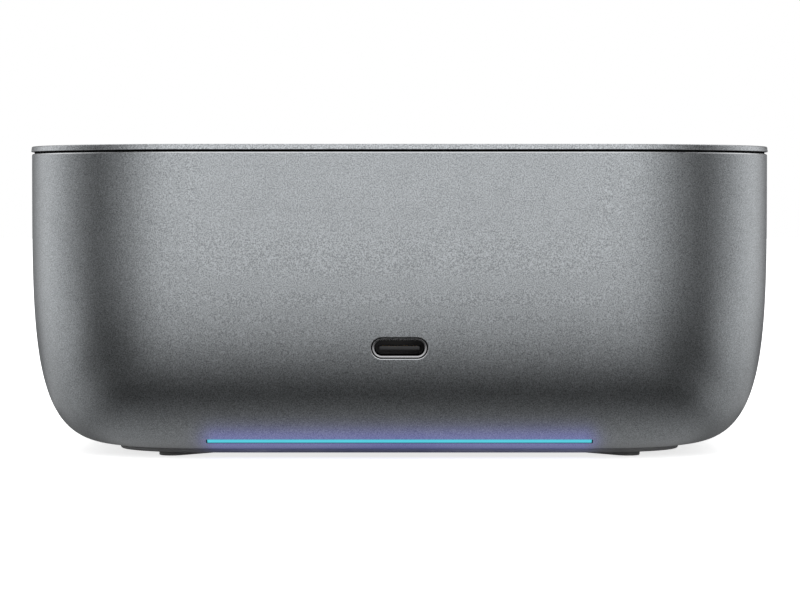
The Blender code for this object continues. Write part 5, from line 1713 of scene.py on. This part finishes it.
    def inlet(self) -> None:
        """The power inlet's block with its round socket, and the pin in it."""
        low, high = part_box("power_inlet")
        x, z = (low.x + high.x) / 2, (low.z + high.z) / 2
        inlet = self.block("power_inlet")
        start, face = high.y - self.bore_depth, high.y
        rings = self.flared(lambda grow: shifted(circle(self.bore + grow, steps=64), x, z), 0.0, start, face)
        carve(inlet, [cutter("inlet_socket", [rings], BLACK)])
        seat(inlet, Body.DOCK, "black_plastic", "power_inlet")
        low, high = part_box("power_inlet_pin")
        radius = (high.x - low.x) / 2
        stations = [(0.0, low.y)]
        stations += [(into, high.y - under) for into, under in quarter_round(radius, steps=6)[:-1]]
        rings = [upright(shifted(circle(radius - into, BORE_STEPS), x, z), y) for into, y in stations]
        pin = skin("power_inlet_pin_skin", [rings])
        dress(pin, GOLD)
        seat(pin, Body.DOCK, "contact_gold", "power_inlet_pin")

    def build(self, ports: list[ShelledPort]) -> None:
        """Makes the panel and every port in it.

        Args:
            ports: The shelled ports.
        """
        self.panel(ports)
        self.jack()
        self.inlet()
        for port in ports:
            port.build()


class Inside:
    """The pieces inside, which keep their CAD shapes and get their finishes."""

    def build(self) -> None:
        """Dresses each piece."""
        repaint(BOARD, "main_board", "port_board", "light_board", "button_board")
        repaint(BLACK, "board_link_header", "board_link_socket", "fan_frame", "fan_rotor", "tact_switch")
        repaint(SCREW, "board_screw_front_left", "board_screw_front_right", "fan_shaft")
        repaint(SCREW, "port_board_screw_rear_left", "port_board_screw_rear_right")
        repaint(BRASS, "standoff_rear_left", "standoff_rear_right")
        repaint(EPOXY, "controller_chip", "switch_plunger")
        repaint(PAD, "thermal_pad")
        repaint(FINNED, "heat_sink")
        repaint(BRONZE, "fan_bearing")
        repaint(COPPER, "fan_stator")
        repaint(FILM, "light_lead", "fan_lead", "button_lead")
        repaint(GUIDE, "light_guide")


# Studio


@dataclass(frozen=True)
class DarkBand:
    """A dark stretch of the floor card.

    It starts, is full, ends and is gone at angles in degrees from the front. It begins and ends at distances
    that are counted as the floor card's stops are.
    """

    low: float
    full: float
    end: float
    gone: float
    begins: float
    ends: float = 10.0


@dataclass(frozen=True)
class WallCard:
    """An upright card beside the dock: its span in degrees from the front, and the brightness along it."""

    name: str
    span: Pair
    height: float
    stops: Stops


@dataclass
class Studio:
    """Floor, light and the camera at the photograph's place."""

    distance: float = 686.1 * MM
    eye_height: float = 40.5 * MM
    aside: float = 0.08 * MM
    lens: float = 171.7
    sensor: float = 36.0
    clip: Pair = (0.01, 50.0)
    tilt: float = math.radians(1.267)
    ambient: float = 0.7
    floor_half: float = 6.0
    floor_grey: float = 0.85
    floor_rough: float = 0.9
    floor_glow: float = 0.75
    card_half: float = 0.9
    card_height: float = 0.0004
    arc_centre: float = 32.3 * MM
    arc_radius: float = 30.5 * MM
    arc_place: float = 0.1
    side_turn: Pair = (45, 80)
    front_steps: Stops = (
        (0.085, 0.22), (0.0875, 0.28), (0.0905, 0.36), (0.094, 0.33), (0.1, 0.2),
        (0.112, 0.02), (0.13, 0.1), (0.17, 0.36), (0.25, 0.6), (0.6, 1.0),
    )
    side_steps: Stops = (
        (0.085, 0.1), (0.092, 0.16), (0.1, 0.3), (0.105, 0.42), (0.13, 0.5), (0.2, 0.7), (0.6, 1.0),
    )
    dark_bands: tuple[DarkBand, ...] = (
        DarkBand(25, 50, 68, 95, 0.13),
        DarkBand(125, 148, 165, 175, 0.1),
        DarkBand(85, 140, 150, 180, 0.05, 0.109),
    )
    band_soft: float = 0.02
    band_end_soft: float = 0.004
    band_grey: float = 0.04
    wall_reach: float = 0.4
    wall_cards: tuple[WallCard, ...] = (
        WallCard("side_card", (35, 120), 0.5, ((0.0, 0.9), (0.4, 0.06), (0.8, 1.0))),
        WallCard("rear_card", (122, 170), 0.4, ((0.0, 1.0), (0.4, 0.2), (0.8, 0.05), (1.0, 1.0))),
    )
    lamp_spots: tuple[tuple[str, Size], ...] = (
        ("front_softbox", (0.0, -1.5, 1.5)),
        ("top_softbox", (0.0, 0.2, 2.0)),
    )
    lamp_aim: Size = (0.0, 0.0, 0.03)
    lamp_size: float = 2.4
    lamp_power: float = 18.0

    def camera(self) -> None:
        """Sets the camera up in front, slightly above the middle and tipped down."""
        data = bpy.data.cameras.new("front_camera")
        data.lens = self.lens
        data.sensor_width = self.sensor
        data.clip_start, data.clip_end = self.clip
        camera = bpy.data.objects.new("front_camera", data)
        camera.location = (self.aside, -self.distance, self.eye_height)
        camera.rotation_euler = (math.pi / 2 - self.tilt, 0, 0)
        bpy.context.scene.collection.objects.link(camera)
        bpy.context.scene.camera = camera

    def seen(self, sketch: Sketch, unseen: float, seen: float) -> Socket:
        """A strength that differs between rays that show a surface and rays that only light others.

        Args:
            sketch: Sketch of a material or world.
            unseen: Strength for light that falls on other surfaces.
            seen: Strength for the camera, reflections and clear materials.

        Returns:
            The strength's socket.
        """
        path = sketch.add("ShaderNodeLightPath").outputs
        shows = sketch.math("MAXIMUM", path["Is Camera Ray"], path["Is Glossy Ray"])
        shows = sketch.math("MAXIMUM", shows, path["Is Transmission Ray"])
        return sketch.ramp(shows, 0.0, 1.0, unseen, seen)

    def world(self) -> None:
        """White surround for the camera and reflections, softer light for the rest."""
        world = bpy.data.worlds.new("studio")
        bpy.context.scene.world = world
        world.use_nodes = True
        sketch = Sketch(world.node_tree)
        light = {"Color": (1, 1, 1, 1), "Strength": self.seen(sketch, self.ambient, 1.0)}
        sketch.fill(world.node_tree.nodes["Background"], light)

    def quad(self, name: str, corners: list[Size]) -> Object:
        """A flat four-cornered piece of the studio.

        Args:
            name: Its name.
            corners: Its corners in order.

        Returns:
            The object.
        """
        mesh = bpy.data.meshes.new(name)
        mesh.from_pydata(corners, [], [(0, 1, 2, 3)])
        made = add_object(name, mesh)
        return made

    def square(self, half: float, z: float) -> list[Size]:
        """Corners of a level square round the origin."""
        return [(-half, -half, z), (half, -half, z), (half, half, z), (-half, half, z)]

    def floor(self) -> None:
        """A wide pale floor that keeps the dock's shadow, clear from below."""
        floor = self.quad("floor", self.square(self.floor_half, 0.0))
        on = Surface("pale_floor")
        grey = (self.floor_grey, self.floor_grey, self.floor_grey, 1)
        on.show({"Base Color": grey, "Roughness": self.floor_rough, "Emission Color": (1, 1, 1, 1)})
        on.show({"Emission Strength": self.seen(on, 0.0, self.floor_glow)})
        below = on.take("ShaderNodeNewGeometry", output="Backfacing")
        clear = on.take("ShaderNodeBsdfTransparent")
        sides = on.take("ShaderNodeMixShader", {0: below, 1: on.shader.outputs[0], 2: clear})
        on.fill(on.tree.nodes["Material Output"], {"Surface": sides})
        floor.data.materials.append(on.material)

    def card(self, name: str, corners: list[Size]) -> tuple[Sketch, Outputs]:
        """A card that only reflections see, with no shade on it yet.

        Args:
            name: Name of the card.
            corners: Its four corners in order.

        Returns:
            A sketch of its material, and its texture coordinates.
        """
        card = self.quad(name, corners)
        along = card.data.uv_layers.new(name="along")
        for index, spot in enumerate(((0, 0), (1, 0), (1, 1), (0, 1))):
            along.data[index].uv = spot
        for ray in ("camera", "diffuse", "transmission", "volume_scatter", "shadow"):
            setattr(card, f"visible_{ray}", False)
        made = bpy.data.materials.new(name)
        made.use_nodes = True
        made.node_tree.nodes.clear()
        card.data.materials.append(made)
        sketch = Sketch(made.node_tree)
        return sketch, sketch.add("ShaderNodeTexCoord").outputs

    def shine(self, sketch: Sketch, bright: Socket) -> None:
        """Gives a card its brightness."""
        glow = sketch.take("ShaderNodeEmission", {"Color": bright})
        sketch.add("ShaderNodeOutputMaterial", {"Surface": glow})

    def steps(self, sketch: Sketch, place: Socket, stops: Stops) -> Socket:
        """Brightness by place.

        Args:
            sketch: Sketch of a card's material.
            place: Place from 0 to 1.
            stops: Pairs of a place and the brightness there.

        Returns:
            The brightness.
        """
        ramp = sketch.add("ShaderNodeValToRGB", {"Fac": place})
        elements = ramp.color_ramp.elements
        while len(elements) < len(stops):
            elements.new(0.5)
        for element, (spot, bright) in zip(elements, stops):
            element.position = spot
            element.color = (bright, bright, bright, 1)
        return ramp.outputs["Color"]

    def floor_card(self) -> None:
        """A card round the dock, just over the floor: dark close in front, paler at the sides and far off."""
        sketch, where = self.card("floor_card", self.square(self.card_half, self.card_height))
        parts = sketch.parts(where["Object"])
        aside = sketch.math("SUBTRACT", sketch.math("ABSOLUTE", parts["X"]), self.arc_centre)
        ahead = sketch.math("SUBTRACT", sketch.math("MULTIPLY", parts["Y"], -1.0), self.arc_centre)
        behind = sketch.math("SUBTRACT", parts["Y"], self.arc_centre)
        past_x = sketch.math("MAXIMUM", aside, 0.0)
        past_y = sketch.math("MAXIMUM", sketch.math("MAXIMUM", ahead, behind), 0.0)
        squares = [sketch.math("MULTIPLY", part, part) for part in (past_x, past_y)]
        reach = sketch.math("SQRT", sketch.math("ADD", *squares))
        place = sketch.math("ADD", reach, self.arc_place - self.arc_radius)
        turn = sketch.math("ABSOLUTE", sketch.math("ARCTAN2", aside, ahead))
        front, sides = (self.steps(sketch, place, stops) for stops in (self.front_steps, self.side_steps))
        bright = sketch.mix(sketch.ramp(turn, *map(math.radians, self.side_turn)), front, sides)
        dark = (self.band_grey, self.band_grey, self.band_grey, 1)
        for band in self.dark_bands:
            low, full, end, gone = map(math.radians, (band.low, band.full, band.end, band.gone))
            edges = [
                sketch.ramp(turn, low, full),
                sketch.ramp(turn, end, gone, 1.0, 0.0),
                sketch.ramp(place, band.begins - self.band_soft, band.begins + self.band_soft),
                sketch.ramp(place, band.ends - self.band_end_soft, band.ends + self.band_end_soft, 1.0, 0.0),
            ]
            share: Value = 1.0
            for edge in edges:
                share = sketch.math("MULTIPLY", share, edge)
            bright = sketch.mix(share, bright, dark)
        self.shine(sketch, bright)

    def wall_card(self, card: WallCard, side: int) -> None:
        """An upright card beside the dock.

        Args:
            card: What it is like.
            side: -1 for the left, 1 for the right.
        """
        reach, top = self.wall_reach, card.height
        turns = [math.radians(angle) for angle in card.span]
        near, far = ((side * reach * math.sin(turn), -reach * math.cos(turn)) for turn in turns)
        corners = [(*near, 0.0), (*far, 0.0), (*far, top), (*near, top)]
        sketch, where = self.card(f"{card.name}_{side}", corners)
        self.shine(sketch, self.steps(sketch, sketch.parts(where["UV"])["X"], card.stops))

    def lamps(self) -> None:
        """A broad soft lamp over the front and a fill from above."""
        for name, spot in self.lamp_spots:
            data = bpy.data.lights.new(name, "AREA")
            data.size = self.lamp_size
            data.energy = self.lamp_power
            lamp = bpy.data.objects.new(name, data)
            lamp.location = spot
            lamp.visible_glossy = False
            way = Vector(self.lamp_aim) - Vector(spot)
            lamp.rotation_euler = way.to_track_quat("-Z", "Y").to_euler()
            bpy.context.scene.collection.objects.link(lamp)

    def build(self) -> None:
        """Sets the whole studio up: camera, floor, and cards and lamps as for a metal product."""
        bpy.context.scene.view_settings.view_transform = "Standard"
        self.camera()
        self.world()
        self.floor()
        self.floor_card()
        for side in (-1, 1):
            for card in self.wall_cards:
                self.wall_card(card, side)
        self.lamps()


def rear_ports(small: dict[str, object]) -> list[ShelledPort]:
    """The shelled ports of the rear panel.

    Args:
        small: Sizes of a small reversible port.

    Returns:
        The ports.
    """
    ports = [ShelledPort(name, **small) for name in ("host_port", "device_port")]
    video = dict(contacts=10, contact_pitch=1.0 * MM, setback=1.2 * MM, corner=0.4 * MM)
    ports.append(ShelledPort(
        "video_port_a", PortShape.TWO_CUT, width=14 * MM, height=4.55 * MM, length=11.2 * MM, cut=1.9 * MM,
        tongue_width=0.82, tongue_thick=0.24, tongue_rise=0.06, **video,
    ))
    ports.append(ShelledPort(
        "video_port_b", PortShape.ONE_CUT, width=16.1 * MM, height=4.76 * MM, length=14.5 * MM, cut=1.8 * MM,
        tongue_width=0.8, tongue_thick=0.26, tongue_rise=0.04, **video,
    ))
    flat = dict(
        shape=PortShape.ROUNDED_BOX, width=12.5 * MM, height=5.12 * MM, length=14 * MM, both_faces=False,
        contacts=4, contact_pitch=2.4 * MM, setback=0.7 * MM,
        tongue_width=0.89, tongue_thick=0.36, tongue_rise=0.2,
    )
    return ports + [ShelledPort(f"peripheral_port_{number}", **flat) for number in (1, 2, 3)]


def main() -> None:
    """Builds the dock's skins and finishes, then the studio, and reports each piece."""
    logging.basicConfig(level=logging.INFO, format="%(name)s: %(message)s")
    small = dict(
        shape=PortShape.ROUND_ENDED, width=8.34 * MM, height=2.56 * MM, length=7.6 * MM,
        contacts=12, contact_pitch=0.5 * MM, setback=0.8 * MM,
        tongue_width=0.8, tongue_thick=0.28, tongue_rise=0.0,
    )
    front_port = ShelledPort("front_port", faces_front=True, lip_finish=NICKEL, **small)
    Housing().build(front_port)
    TopPlate().build()
    Underside().build()
    front_port.build()
    Rear().build(rear_ports(small))
    Inside().build()
    Studio().build()


if __name__ == "__main__":
    main()
